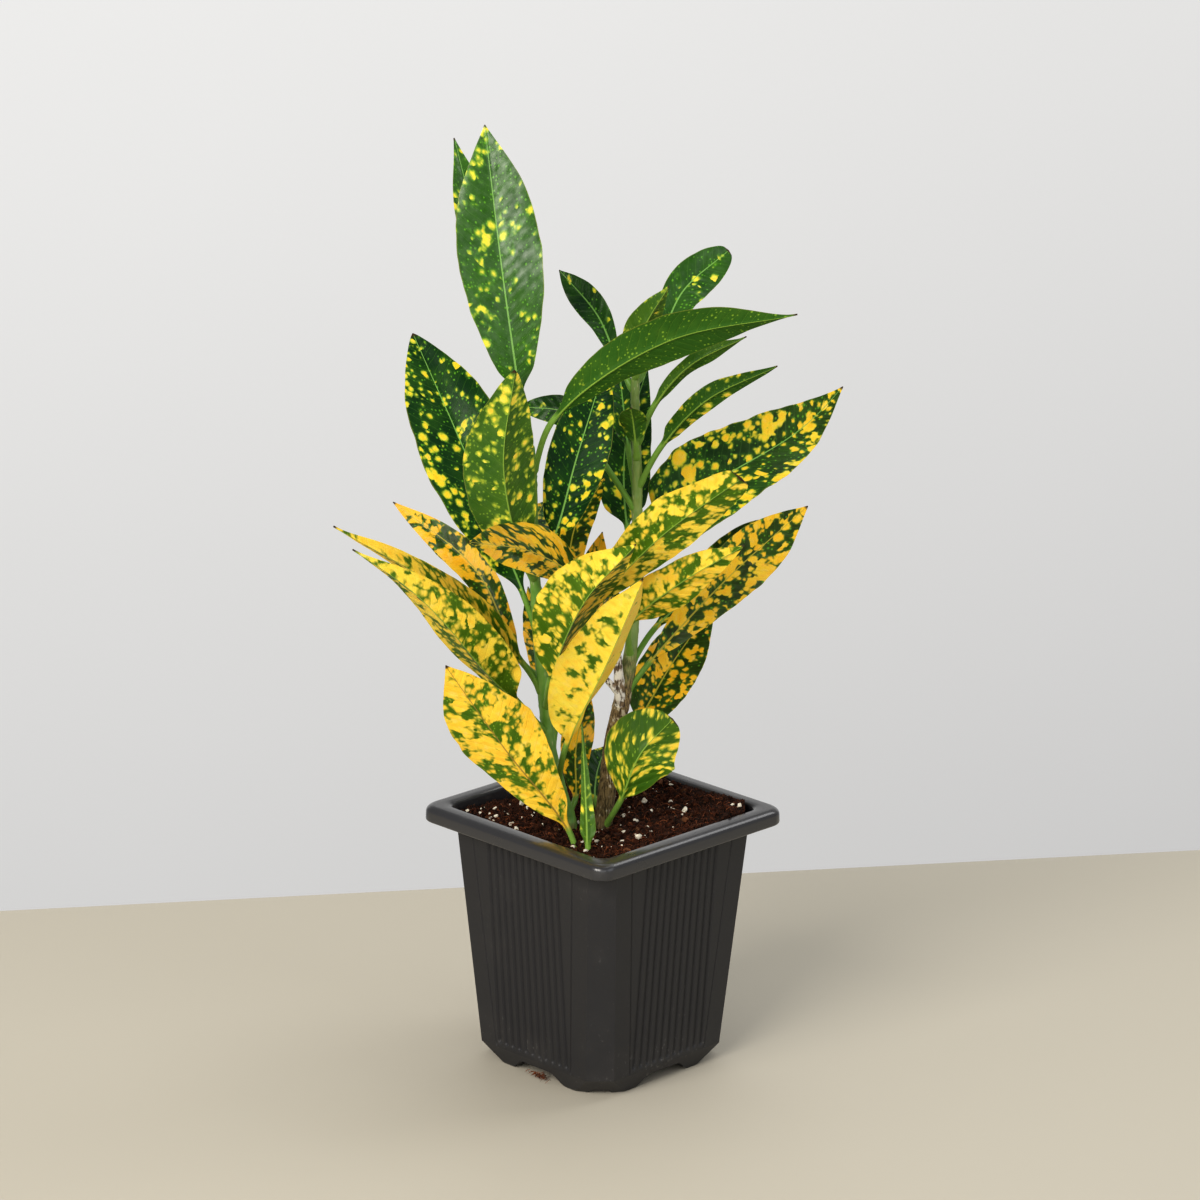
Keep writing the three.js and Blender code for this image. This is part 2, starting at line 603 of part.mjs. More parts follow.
function addPiece(name, solid, finish) {
  const mesh = new THREE.Mesh(toGeometry(solid), finish);
  mesh.name = name;
  plant.add(mesh);
}

const grownStems = {};
for (const [name, stem] of Object.entries(STEMS)) {
  grownStems[name] = stemSolid(stem, SEAT_GAP);
}

const soilHoles = Object.values(grownStems);
for (const leaf of Object.values(LEAVES).filter((candidate) => candidate.root)) {
  soilHoles.push(leafSolid(leaf, 1.5 * SEAT_GAP));
}

addPiece("pot", pot(), MATERIALS.pot);
addPiece("soil", soil(soilHoles), MATERIALS.soil);
addPiece("stem_left", stemSolid(STEMS.left, 0), MATERIALS.greenStem);
addPiece("stem_right", stemSolid(STEMS.right, 0), MATERIALS.woodyStem);
for (const [name, leaf] of Object.entries(LEAVES)) {
  const grown = leafSolid(leaf, 0);
  const seated = leaf.stem ? largestPiece(grown.subtract(grownStems[leaf.stem])) : grown;
  addPiece(name, seated, GREEN_LEAVES.has(name) ? MATERIALS.greenLeaf : MATERIALS.goldLeaf);
}

// The origin is at the middle of the whole object's box, on the surface it stands on
const box = new THREE.Box3().setFromObject(plant);
const centre = box.getCenter(new THREE.Vector3());
plant.position.set(-centre.x, -centre.y, 0);

const object = new THREE.Group();
object.add(plant);

export default object;
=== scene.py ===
"""A potted gold-dust croton: variegated leaves on two stems in a square ribbed nursery pot.

Sizes in the classes are millimetres about the pot's own upright axis, with the pot's front
corner towards -Y. publish() turns each finished mesh into metres in the frame.
"""

import logging
import math
import random
from bisect import bisect_right
from dataclasses import dataclass, field
from enum import Enum
from typing import Callable, ClassVar, Sequence, Union

import bmesh
import bpy
from mathutils import Matrix, Vector, noise


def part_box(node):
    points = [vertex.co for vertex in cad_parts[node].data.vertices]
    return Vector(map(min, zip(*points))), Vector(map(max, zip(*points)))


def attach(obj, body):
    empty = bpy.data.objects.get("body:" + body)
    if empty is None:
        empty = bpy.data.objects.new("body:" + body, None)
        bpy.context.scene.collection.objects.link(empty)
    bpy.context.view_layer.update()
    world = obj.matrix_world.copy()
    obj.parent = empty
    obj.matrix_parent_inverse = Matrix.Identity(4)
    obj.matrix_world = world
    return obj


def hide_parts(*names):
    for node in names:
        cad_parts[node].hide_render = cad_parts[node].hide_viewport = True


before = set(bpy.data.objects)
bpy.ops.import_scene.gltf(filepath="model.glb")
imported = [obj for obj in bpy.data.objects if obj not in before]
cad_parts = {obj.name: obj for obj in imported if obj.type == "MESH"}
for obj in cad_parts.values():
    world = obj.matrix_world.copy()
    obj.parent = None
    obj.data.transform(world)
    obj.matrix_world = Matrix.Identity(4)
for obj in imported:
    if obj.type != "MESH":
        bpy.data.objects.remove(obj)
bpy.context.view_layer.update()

log = logging.getLogger("croton")

MM = 0.001
BODY = "root"

Point = tuple[float, float, float]
Pair = tuple[float, float]


def pot_axis() -> Vector:
    """Returns the point of the frame's floor under the middle of the pot, in metres."""
    low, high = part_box("pot")
    return Vector(((low.x + high.x) / 2, (low.y + high.y) / 2, 0.0))


AXIS = pot_axis()


def clamp(value: float, low: float = 0.0, high: float = 1.0) -> float:
    """Returns the value kept between two limits."""
    return max(low, min(high, value))


def smoothstep(value: float, low: float, high: float) -> float:
    """Returns a soft step from 0 at low to 1 at high."""
    share = clamp((value - low) / (high - low))
    return share * share * (3 - 2 * share)


def lerp(a: float, b: float, share: float) -> float:
    """Returns the value at a share of the way from a to b."""
    return a + (b - a) * share


def colour(code: str) -> tuple[float, float, float, float]:
    """Turns a screen colour into the linear values that the shaders use.

    Args:
        code: Six hexadecimal digits, red first.

    Returns:
        Red, green, blue and a full alpha.
    """
    shades = [int(code[i : i + 2], 16) / 255 for i in (0, 2, 4)]
    linear = [s / 12.92 if s <= 0.04045 else ((s + 0.055) / 1.055) ** 2.4 for s in shades]
    return (*linear, 1.0)


# Shader maths

Term = Union[float, "Shade"]
Key = Union[int, str]


class Shade:
    """One value of a material being built. Arithmetic on it adds Math nodes."""

    def __init__(self, tree: bpy.types.NodeTree, socket: bpy.types.NodeSocket) -> None:
        """Wraps an output socket of the tree."""
        self.tree = tree
        self.socket = socket

    def output(self, name: str) -> "Shade":
        """Returns another output of the node that this value comes from."""
        return Shade(self.tree, self.socket.node.outputs[name])

    def calc(self, operation: str, *terms: Term) -> "Shade":
        """Adds one Math node.

        Args:
            operation: The node's operation.
            terms: Its inputs, in order.

        Returns:
            The node's value.
        """
        node = self.tree.nodes.new("ShaderNodeMath")
        node.operation = operation
        for socket, term in zip(node.inputs, terms):
            plug(self.tree, socket, term)
        return Shade(self.tree, node.outputs[0])

    def __add__(self, other: Term) -> "Shade":
        """Returns the sum."""
        return self.calc("ADD", self, other)

    __radd__ = __add__

    def __sub__(self, other: Term) -> "Shade":
        """Returns the difference."""
        return self.calc("SUBTRACT", self, other)

    def __rsub__(self, other: Term) -> "Shade":
        """Returns the difference with this value taken away."""
        return self.calc("SUBTRACT", other, self)

    def __mul__(self, other: Term) -> "Shade":
        """Returns the product."""
        return self.calc("MULTIPLY", self, other)

    __rmul__ = __mul__

    def __truediv__(self, other: Term) -> "Shade":
        """Returns the quotient."""
        return self.calc("DIVIDE", self, other)

    def __lt__(self, other: Term) -> "Shade":
        """Returns 1 where this value is the smaller, else 0."""
        return self.calc("LESS_THAN", self, other)

    def __abs__(self) -> "Shade":
        """Returns the value without its sign."""
        return self.calc("ABSOLUTE", self)

    def joined(self, other: Term, softness: float) -> "Shade":
        """Returns the larger of the two, with a soft turn where they are alike."""
        return self.calc("SMOOTH_MAX", self, other, softness)

    def fraction(self) -> "Shade":
        """Returns what is left after the whole number."""
        return self.calc("FRACT", self)


def plug(tree: bpy.types.NodeTree, socket: bpy.types.NodeSocket, term: object) -> None:
    """Links a value to an input socket, or sets the socket to a number or colour."""
    if isinstance(term, Shade):
        tree.links.new(term.socket, socket)
    else:
        socket.default_value = term


class Recipe:
    """The node tree of one material."""

    MIX_COLOUR_INPUTS = (0, 6, 7)
    MIX_COLOUR_OUTPUT = 2

    def __init__(self, name: str) -> None:
        """Starts an empty material."""
        self.material = bpy.data.materials.new(name)
        self.material.use_nodes = True
        self.tree = self.material.node_tree
        self.tree.nodes.clear()

    def node(
        self, kind: str, settings: dict[str, object], inputs: dict[Key, object], output: Key = 0
    ) -> Shade:
        """Adds one node.

        Args:
            kind: The node's type after ShaderNode.
            settings: Its properties, which are set first.
            inputs: Numbers, colours or values for its sockets, by name or place.
            output: The output wanted.

        Returns:
            That output.
        """
        node = self.tree.nodes.new(f"ShaderNode{kind}")
        for key, value in settings.items():
            setattr(node, key, value)
        for key, term in inputs.items():
            plug(self.tree, node.inputs[key], term)
        return Shade(self.tree, node.outputs[output])

    def attribute(self, name: str) -> Shade:
        """Returns one of the piece's own attributes, a vector."""
        return self.node("Attribute", {"attribute_name": name}, {}, "Vector")

    def place(self) -> Shade:
        """Returns the place on the piece, in metres."""
        return self.node("TexCoord", {}, {}, "Object")

    def part(self, vector: Shade, name: str) -> Shade:
        """Returns the X, Y or Z of a vector."""
        return self.node("SeparateXYZ", {}, {"Vector": vector}, name)

    def noise(self, place: Shade, scale: float, detail: float, flat: bool = False) -> Shade:
        """Returns soft noise between 0 and 1."""
        settings = {"noise_dimensions": "2D" if flat else "3D"}
        inputs = {"Vector": place, "Scale": scale, "Detail": detail}
        return self.node("TexNoise", settings, inputs)

    def step(self, value: Term, low: Term, high: Term) -> Shade:
        """Returns a soft step from 0 at low to 1 at high."""
        settings = {"interpolation_type": "SMOOTHSTEP"}
        inputs = {"Value": value, "From Min": low, "From Max": high}
        return self.node("MapRange", settings, inputs)

    def vector(self, operation: str, *terms: object) -> Shade:
        """Adds one Vector Math node with its vectors in order."""
        return self.node("VectorMath", {"operation": operation}, dict(enumerate(terms)))

    def mix(self, share: Term, a: object, b: object) -> Shade:
        """Mixes two colours, share being how much of the second."""
        inputs = dict(zip(self.MIX_COLOUR_INPUTS, (share, a, b)))
        return self.node("Mix", {"data_type": "RGBA"}, inputs, self.MIX_COLOUR_OUTPUT)

    def bump(self, height: Shade, strength: float, depth: float) -> Shade:
        """Returns the normal of a surface with fine relief, depth in metres."""
        return self.node("Bump", {}, {"Strength": strength, "Distance": depth, "Height": height})

    def finish(self, **sockets: object) -> bpy.types.Material:
        """Adds the surface shader.

        Args:
            sockets: Its values, with underscores for the spaces in the sockets' names.

        Returns:
            The finished material.
        """
        inputs = {key.replace("_", " "): value for key, value in sockets.items()}
        surface = self.node("BsdfPrincipled", {}, inputs)
        output = self.tree.nodes.new("ShaderNodeOutputMaterial")
        plug(self.tree, output.inputs["Surface"], surface)
        return self.material


# Geometry helpers

SEAM_GAP = 1e-4

Putter = Callable[[int, int], Vector]


def lattice(columns: int, rows: int) -> bmesh.types.BMesh:
    """Makes a flat grid whose corners run from 0 to 1 both ways.

    Args:
        columns: Faces along X.
        rows: Faces along Y.

    Returns:
        The new mesh.
    """
    bm = bmesh.new()
    bmesh.ops.create_grid(bm, x_segments=columns, y_segments=rows, size=0.5)
    bmesh.ops.translate(bm, verts=bm.verts, vec=(0.5, 0.5, 0))
    return bm


def roll_up(bm: bmesh.types.BMesh, columns: int, rows: int, put: Putter) -> None:
    """Adds a grid and rolls it into a tube, whose seam close() merges.

    Args:
        bm: The mesh that it goes into.
        columns: Faces round the tube.
        rows: Faces along it.
        put: Gives the place of a corner from its column and row.
    """
    grid = bmesh.ops.create_grid(bm, x_segments=columns, y_segments=rows, size=0.5)
    for vert in grid["verts"]:
        column = round((vert.co.x + 0.5) * columns) % columns
        vert.co = put(column, round((vert.co.y + 0.5) * rows))


def close(bm: bmesh.types.BMesh) -> bmesh.types.BMesh:
    """Merges the seams of a mesh, fills its open ends and turns its faces outwards."""
    bmesh.ops.remove_doubles(bm, verts=bm.verts, dist=SEAM_GAP)
    open_edges = [edge for edge in bm.edges if edge.is_boundary]
    if open_edges:
        bmesh.ops.holes_fill(bm, edges=open_edges, sides=0)
    bmesh.ops.recalc_face_normals(bm, faces=bm.faces)
    return bm


@dataclass
class Spline:
    """A smooth path through a few points, walked by its length."""

    points: Sequence[Vector]
    steps: int = 240

    def __post_init__(self) -> None:
        """Measures the path."""
        self.places = [self.point(i / self.steps) for i in range(self.steps + 1)]
        self.walked = [0.0]
        for here, there in zip(self.places, self.places[1:]):
            self.walked.append(self.walked[-1] + (there - here).length)
        self.length = self.walked[-1]

    def point(self, share: float) -> Vector:
        """Returns the point at a share of the spans, on a centripetal curve."""
        spans = len(self.points) - 1
        index = min(int(share * spans), spans - 1)
        way = share * spans - index
        p1, p2 = self.points[index], self.points[index + 1]
        p0 = self.points[index - 1] if index else p1 * 2 - p2
        p3 = self.points[index + 2] if index + 2 <= spans else p2 * 2 - p1
        d0, d1, d2 = (math.sqrt((b - a).length) for a, b in ((p0, p1), (p1, p2), (p2, p3)))
        leave = ((p1 - p0) / d0 - (p2 - p0) / (d0 + d1) + (p2 - p1) / d1) * d1
        arrive = ((p2 - p1) / d1 - (p3 - p1) / (d1 + d2) + (p3 - p2) / d2) * d1
        square, cube = way**2, way**3
        near = p1 * (2 * cube - 3 * square + 1) + leave * (cube - 2 * square + way)
        return near + p2 * (3 * square - 2 * cube) + arrive * (cube - square)

    def at(self, share: float) -> Vector:
        """Returns the point at a share of the length."""
        goal = clamp(share) * self.length
        index = min(bisect_right(self.walked, goal), self.steps) - 1
        span = self.walked[index + 1] - self.walked[index]
        return self.places[index].lerp(self.places[index + 1], (goal - self.walked[index]) / span)

    def tangent(self, share: float) -> Vector:
        """Returns the direction of the path at a share of its length."""
        return (self.at(share + 0.004) - self.at(share - 0.004)).normalized()

    def share_at_point(self, index: int) -> float:
        """Returns the share of the length at one of the path's own points."""
        return self.walked[round(self.steps * index / (len(self.points) - 1))] / self.length

    def at_height(self, height: float) -> Vector:
        """Returns the point of a rising path at a height."""
        for here, there in zip(self.places, self.places[1:]):
            if there.z >= height:
                return here.lerp(there, clamp((height - here.z) / (there.z - here.z)))
        return self.places[-1].copy()


def publish(
    name: str,
    bm: bmesh.types.BMesh,
    finishes: Sequence[bpy.types.Material],
    replaces: str = "",
    crease: float = 40.0,
) -> None:
    """Makes a piece of the plant from a mesh in millimetres.

    Args:
        name: The piece's name.
        bm: Its mesh about the pot's axis, which is freed.
        finishes: Its materials, by face index.
        replaces: The solid that it stands for, if any.
        crease: The angle in degrees past which an edge shades sharp.
    """
    to_frame = Matrix.Translation(AXIS) @ Matrix.Scale(MM, 4)
    bmesh.ops.transform(bm, matrix=to_frame, verts=bm.verts)
    for face in bm.faces:
        face.smooth = True
    mesh = bpy.data.meshes.new(name)
    bm.to_mesh(mesh)
    bm.free()
    mesh.set_sharp_from_angle(angle=math.radians(crease))
    piece = bpy.data.objects.new(name, mesh)
    bpy.context.scene.collection.objects.link(piece)
    for finish in finishes:
        mesh.materials.append(finish)
    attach(piece, BODY)
    if replaces:
        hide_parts(replaces)
    log.info("%s: %d faces", name, len(mesh.polygons))


# Finishes


@dataclass(frozen=True)
class LeafMarks:
    """What a leaf's attributes say about a place on it.

    "blade" gives the centimetres across and along from the blade's start, "share" the same as
    shares of the blade with the leaf's painted shade third, "speckle" the first moved apart for
    each leaf, and "habit" the leaf's share of gold, its warmth and the freshness of its green.
    """

    across: Shade
    along: Shade
    share_across: Shade
    share_along: Shade
    shade: Shade
    speckle: Shade
    cover: Shade
    warmth: Shade
    fresh: Shade

    @classmethod
    def read(cls, recipe: Recipe) -> "LeafMarks":
        """Returns the marks as values of a material."""
        blade, share = recipe.attribute("blade"), recipe.attribute("share")
        habit = recipe.attribute("habit")
        return cls(
            recipe.part(blade, "X"),
            recipe.part(blade, "Y"),
            recipe.part(share, "X"),
            recipe.part(share, "Y"),
            recipe.part(share, "Z"),
            recipe.attribute("speckle"),
            recipe.part(habit, "X"),
            recipe.part(habit, "Y"),
            recipe.part(habit, "Z"),
        )

    def young(self, recipe: Recipe) -> Shade:
        """Returns 1 on green leaves with little gold, 0 on gold ones."""
        return 1 - recipe.step(self.cover, 0.22, 0.5)


@dataclass(frozen=True)
class LeafFinish:
    """One face of the leaves: green ground, gold in soft spots and blotches, veins and midrib.

    Spot sizes and radii are millimetres from spot to spot and shares of that.
    """

    name: str
    green: str
    light_green: str
    lemon: str
    amber: str
    rib: str
    warm_rib: str
    petiole: str
    margin: str
    olive: str
    blur: float
    roughness: float
    coat: float
    vein_strength: float
    fresh_gold: str = "d8ee4c"
    pale_gold: str = "e4cc78"
    unripe: str = "a4bc38"
    dry_tip: str = "3a2a18"
    # The colour that a leaf's painted shade darkens it towards.
    dark: str = "101808"
    vein_spacing: float = 0.45
    vein_slope: float = 0.8
    vein_curve: float = 0.12
    large_spots: float = 6.6
    large_radii: Pair = (0.14, 0.48)
    medium_spots: float = 4.2
    medium_radii: Pair = (0.12, 0.46)
    small_spots: float = 2.4
    small_radii: Pair = (0.1, 0.42)
    flecks: float = 1.5
    fleck_radii: Pair = (0.06, 0.32)
    blotch_depth: float = 11.0

    def dots(
        self, recipe: Recipe, place: Shade, size: float, radii: Pair, chance: Shade
    ) -> Shade:
        """Returns how deep each place lies in one size of spots.

        Args:
            recipe: The material.
            place: The place in centimetres.
            size: Millimetres from spot to spot.
            radii: Smallest and largest radius, as shares of the size.
            chance: How many of the spots are there.

        Returns:
            The depth in millimetres, below 0 outside the spots.
        """
        settings = {"voronoi_dimensions": "2D", "feature": "SMOOTH_F1"}
        inputs = {"Vector": place, "Scale": 10 / size, "Smoothness": 0.2, "Randomness": 0.9}
        distance = recipe.node("TexVoronoi", settings, inputs)
        draw = recipe.node("SeparateColor", {}, {"Color": distance.output("Color")}, "Red")
        radius = radii[0] + draw * (radii[1] - radii[0])
        missing = recipe.step(draw.output("Green") - chance, -0.04, 0.04)
        return (radius - distance - missing * 2) * size

    def gold_depth(self, recipe: Recipe, speckle: Shade, cover: Shade) -> Shade:
        """Returns how deep each place lies in the gold of the leaf, in millimetres."""
        settings = {"noise_dimensions": "2D"}
        stir = recipe.node("TexNoise", settings, {"Vector": speckle, "Scale": 5.0}, "Color")
        place = recipe.vector("MULTIPLY_ADD", stir, (0.13,) * 3, speckle)
        crowd = recipe.noise(speckle, 0.6, 1.0, flat=True) - 0.5
        plenty = cover / (cover + 0.4) * 0.85
        few = cover * 0.5 - 0.05 + crowd * 0.6
        large = self.dots(recipe, place, self.large_spots, self.large_radii, few)
        many = plenty + crowd * 0.9
        medium = self.dots(recipe, place, self.medium_spots, self.medium_radii, many)
        more = plenty * 0.8 + crowd * 0.5
        small = self.dots(recipe, place, self.small_spots, self.small_radii, more)
        blotch = recipe.noise(place, 1.9, 2.0, flat=True) - 0.5 + crowd * 0.5 + cover * 0.4 - 0.3
        spots = large.joined(medium, 0.6).joined(small, 0.5)
        return spots.joined(blotch * self.blotch_depth, 0.9)

    def veins(self, recipe: Recipe, marks: LeafMarks) -> Shade:
        """Returns the side veins as thin lines of value 1."""
        reach = abs(marks.across)
        drift = recipe.noise(marks.speckle, 1.5, 1.0, flat=True) * 0.18
        other_side = (marks.across < 0.0) * (0.4 * self.vein_spacing)
        slant = reach * self.vein_slope + reach * reach * self.vein_curve
        turns = marks.along - slant + other_side + drift
        wave = abs((turns / self.vein_spacing).fraction() - 0.5) * 2
        return recipe.step(wave, 0.84, 1.0)

    def ground(
        self, recipe: Recipe, marks: LeafMarks, depth: Shade, veins: Shade, tone: Shade
    ) -> Shade:
        """Returns the green, lighter round the gold, in small flecks and along the veins."""
        light = colour(self.light_green)
        green = recipe.mix(marks.young(recipe), colour(self.olive), colour(self.green))
        green = recipe.mix(marks.fresh * 0.3 + (tone - 0.5) * 0.3, green, light)
        halo = recipe.step(depth, -1.0 - marks.fresh * 0.9, 0.3)
        green = recipe.mix(halo * (0.22 + marks.fresh * 0.4), green, light)
        fleck = self.dots(recipe, marks.speckle, self.flecks, self.fleck_radii, tone * 0.75)
        green = recipe.mix(recipe.step(fleck, -0.12, 0.2) * 0.7, green, light)
        return recipe.mix(veins * self.vein_strength, green, light)

    def gold(
        self,
        recipe: Recipe,
        marks: LeafMarks,
        depth: Shade,
        veins: Shade,
        tone: Shade,
        mottle: Shade,
    ) -> Shade:
        """Returns the gold, from lemon to amber, greener near its edge on green leaves."""
        lemon, amber = colour(self.lemon), colour(self.amber)
        rich = marks.warmth * 0.95 + (tone - 0.5) * 0.8 + recipe.step(depth, 0.3, 3.5) * 0.12
        fresh_lemon = recipe.mix(marks.fresh * 0.7, lemon, colour(self.fresh_gold))
        gold = recipe.mix(rich, fresh_lemon, amber)
        gold = recipe.mix(recipe.step(mottle, 0.48, 0.78) * 0.45, gold, amber)
        gold = recipe.mix(recipe.step(mottle, 0.5, 0.24) * 0.35, gold, colour(self.pale_gold))
        gold = recipe.mix(veins * self.vein_strength * 0.5, gold, colour(self.light_green))
        shallow = 1 - recipe.step(depth, 0.05, 0.95)
        return recipe.mix(shallow * marks.young(recipe) * 0.75, gold, colour(self.unripe))

    def trim(self, recipe: Recipe, marks: LeafMarks, skin: Shade, tone: Shade) -> Shade:
        """Returns the skin with its midrib, margin, dry tip and petiole."""
        rib_width = 0.055 - marks.share_along * 0.04
        rib = 1 - recipe.step(abs(marks.across) / rib_width, 0.55, 1.0)
        warm = recipe.step(marks.warmth, 0.36, 0.5)
        rib_tint = recipe.mix(warm, colour(self.rib), colour(self.warm_rib))
        skin = recipe.mix(rib * 0.85, skin, rib_tint)
        edge = recipe.step(abs(marks.share_across), 0.965, 0.995)
        skin = recipe.mix(edge * 0.25, skin, colour(self.margin))
        dry = recipe.step(marks.share_along + tone * 0.02, 0.99, 1.005)
        skin = recipe.mix(dry, skin, colour(self.dry_tip))
        stalk = recipe.step(marks.along + tone * 0.2, 0.45, 0.0)
        return recipe.mix(stalk, skin, colour(self.petiole))

    def build(self) -> bpy.types.Material:
        """Returns the finished material."""
        recipe = Recipe(self.name)
        marks = LeafMarks.read(recipe)
        towards_edge = (abs(marks.share_across) - 0.5) * 0.16
        cover = marks.cover + towards_edge * recipe.step(marks.cover, 0.0, 0.2)
        depth = self.gold_depth(recipe, marks.speckle, cover)
        veins = self.veins(recipe, marks)
        tone = recipe.noise(marks.speckle, 0.9, 2.0, flat=True)
        mottle = recipe.noise(marks.speckle, 3.4, 3.0, flat=True)
        grain = recipe.noise(marks.speckle, 26.0, 3.0, flat=True)

        ground = self.ground(recipe, marks, depth, veins, tone)
        gold = self.gold(recipe, marks, depth, veins, tone, mottle)
        blur = self.blur + marks.fresh * 0.45
        skin = recipe.mix(recipe.step(depth, 0 - blur, blur), ground, gold)
        skin = self.trim(recipe, marks, skin, tone)
        # Darkens the whole leaf by its painted shade, with a little random grain in the darkening.
        skin = recipe.mix(marks.shade + (grain - 0.5) * 0.3 + 0.03, skin, colour(self.dark))

        creases = recipe.noise(marks.speckle, 7.0, 1.0, flat=True) * 0.8
        return recipe.finish(
            Base_Color=skin,
            Roughness=self.roughness + (grain - 0.5) * 0.25,
            Coat_Weight=self.coat + marks.fresh * (mottle * 2.2 - 0.4),
            Coat_Roughness=0.28,
            Specular_IOR_Level=0.09,
            Normal=recipe.bump(grain * 0.5 - veins * 0.7 + creases, 0.45, 0.0003),
        )


@dataclass(frozen=True)
class StemFinish:
    """The skin of a stem, with bark below a height."""

    name: str
    skin: str
    streak: str
    bark: str
    crack: str
    flake: str
    bark_top: float
    fade: float = 9.0
    flaking: float = 0.0
    # A darker olive that the bark takes towards the bottom of the stem, full below the first height
    # and gone above the second.
    low_olive: str = "3e3a18"
    low_olive_full: float = 108.0
    low_olive_top: float = 150.0

    def build(self) -> bpy.types.Material:
        """Returns the finished material."""
        recipe = Recipe(self.name)
        place = recipe.place()
        height = recipe.part(place, "Z") / MM
        long_place = recipe.vector("MULTIPLY", place, (1.0, 1.0, 0.22))
        streaks = recipe.noise(long_place, 900.0, 3.0)
        patches = recipe.noise(place, 260.0, 3.0)
        uneven = height + (patches - 0.5) * 30
        woody = 1 - recipe.step(uneven, self.bark_top - self.fade, self.bark_top + self.fade)
        skin = recipe.mix((streaks - 0.35) * 1.4, colour(self.skin), colour(self.streak))
        cells = recipe.node("TexVoronoi", {}, {"Vector": long_place, "Scale": 620.0})
        pores = 1 - recipe.step(cells, 0.08, 0.2)
        skin = recipe.mix(pores * 0.35, skin, colour(self.flake))
        rough = recipe.noise(long_place, 1500.0, 4.0)
        bark = recipe.mix(recipe.step(rough, 0.35, 0.62), colour(self.crack), colour(self.bark))
        pits = recipe.node("TexVoronoi", {}, {"Vector": place, "Scale": 1000.0})
        bark = recipe.mix((1 - recipe.step(pits, 0.16, 0.34)) * 0.55, bark, colour(self.crack))
        # Darker olive towards the bottom of the stem.
        low_olive = (1 - recipe.step(height, self.low_olive_full, self.low_olive_top)) * 0.45
        bark = recipe.mix(low_olive, bark, colour(self.low_olive))
        loose = recipe.step(patches + rough * 0.5 + self.flaking, 0.86, 0.98)
        bark = recipe.mix(loose * 0.8, bark, colour(self.flake))
        relief = (rough * 1.6 + patches) * woody + streaks * 0.4 * (1 - woody)
        return recipe.finish(
            Base_Color=recipe.mix(woody, skin, bark),
            Roughness=0.42 + woody * 0.4 + (streaks - 0.5) * 0.15,
            Normal=recipe.bump(relief, 0.8, 0.0006),
        )


@dataclass(frozen=True)
class EarthFinish:
    """Peat, crumbs, fibres or grains: three tones that mix over the surface."""

    name: str
    dark: str
    middle: str
    light: str
    scale: float
    roughness: float = 0.88
    relief: float = 0.0008

    def build(self) -> bpy.types.Material:
        """Returns the finished material."""
        recipe = Recipe(self.name)
        place = recipe.place()
        broad = recipe.noise(place, self.scale, 3.0)
        fine = recipe.noise(place, self.scale * 6, 4.0)
        tone = recipe.mix(recipe.step(broad, 0.35, 0.6), colour(self.dark), colour(self.middle))
        tone = recipe.mix(recipe.step(fine, 0.5, 0.72), tone, colour(self.light))
        return recipe.finish(
            Base_Color=tone,
            Roughness=self.roughness + (fine - 0.5) * 0.2,
            Specular_IOR_Level=0.2,
            Normal=recipe.bump(fine + broad * 0.5, 0.9, self.relief),
        )


@dataclass(frozen=True)
class PlasticFinish:
    """Moulded charcoal plastic, glossier on the rim, scuffed and dusty near the foot."""

    name: str
    body: str
    scuff: str
    dust: str
    rim_height: float
    # The grey of a painted sheen that lightens the rim.
    rim_painted_sheen: str = "505054"

    def build(self) -> bpy.types.Material:
        """Returns the finished material."""
        recipe = Recipe(self.name)
        place = recipe.place()
        height = recipe.part(place, "Z") / MM
        cloud = recipe.noise(place, 45.0, 3.0)
        grain = recipe.noise(place, 2600.0, 2.0)
        stretched = recipe.vector("MULTIPLY", place, (1.0, 1.0, 0.6))
        rubs = recipe.noise(stretched, 760.0, 5.0)
        low = 1 - recipe.step(height, 6.0, 34.0)
        worn = recipe.step(rubs + (cloud - 0.5) * 0.5 + low * 0.05, 0.69, 0.8)
        on_rim = recipe.step(height, self.rim_height - 1, self.rim_height + 1)
        tint = recipe.mix(worn * (0.08 + low * 0.16), colour(self.body), colour(self.scuff))
        # Lightens the rim's colour a little as a painted sheen.
        tint = recipe.mix(on_rim * 0.12, tint, colour(self.rim_painted_sheen))
        settled = recipe.step(cloud + low * 0.22, 0.55, 0.85) * 0.14
        tint = recipe.mix(settled, tint, colour(self.dust))
        sheen = 0.46 - on_rim * 0.16 + (cloud - 0.5) * 0.16 + worn * 0.15 + settled * 0.4
        return recipe.finish(
            Base_Color=tint,
            Roughness=sheen,
            Coat_Weight=on_rim * 0.5,
            Coat_Roughness=0.13,
            Normal=recipe.bump(grain * 0.5 + rubs * 0.5, 0.22, 0.0002),
        )


@dataclass(frozen=True)
class StageFinish:
    """A plain matt studio surface that may carry a painted glow, brighter to its upper left."""

    name: str
    tint: str
    # A painted glow of light: the surface gives off light between a dim colour and a bright one.
    painted_glow: float = 0.0
    painted_glow_dim: str = "b4b4b6"
    painted_glow_bright: str = "f4f4f4"

    def build(self) -> bpy.types.Material:
        """Returns the finished material."""
        recipe = Recipe(self.name)
        place = recipe.place()
        cloud = recipe.noise(place, 3.0, 2.0)
        shade = tuple(0.96 * channel for channel in colour(self.tint)[:3]) + (1.0,)
        # The painted glow is brighter higher up and further left, like light falling from the upper
        # left.
        height = recipe.step(recipe.part(place, "Z"), -1.4, 0.1)
        aside = recipe.step(recipe.part(place, "X"), 0.9, -0.9)
        painted_light = recipe.mix(height * 0.7 + aside * 0.3, colour(self.painted_glow_dim), colour(self.painted_glow_bright))
        return recipe.finish(
            Base_Color=recipe.mix(cloud, shade, colour(self.tint)),
            Roughness=0.7,
            Emission_Color=painted_light,
            Emission_Strength=self.painted_glow,
        )


# Stems


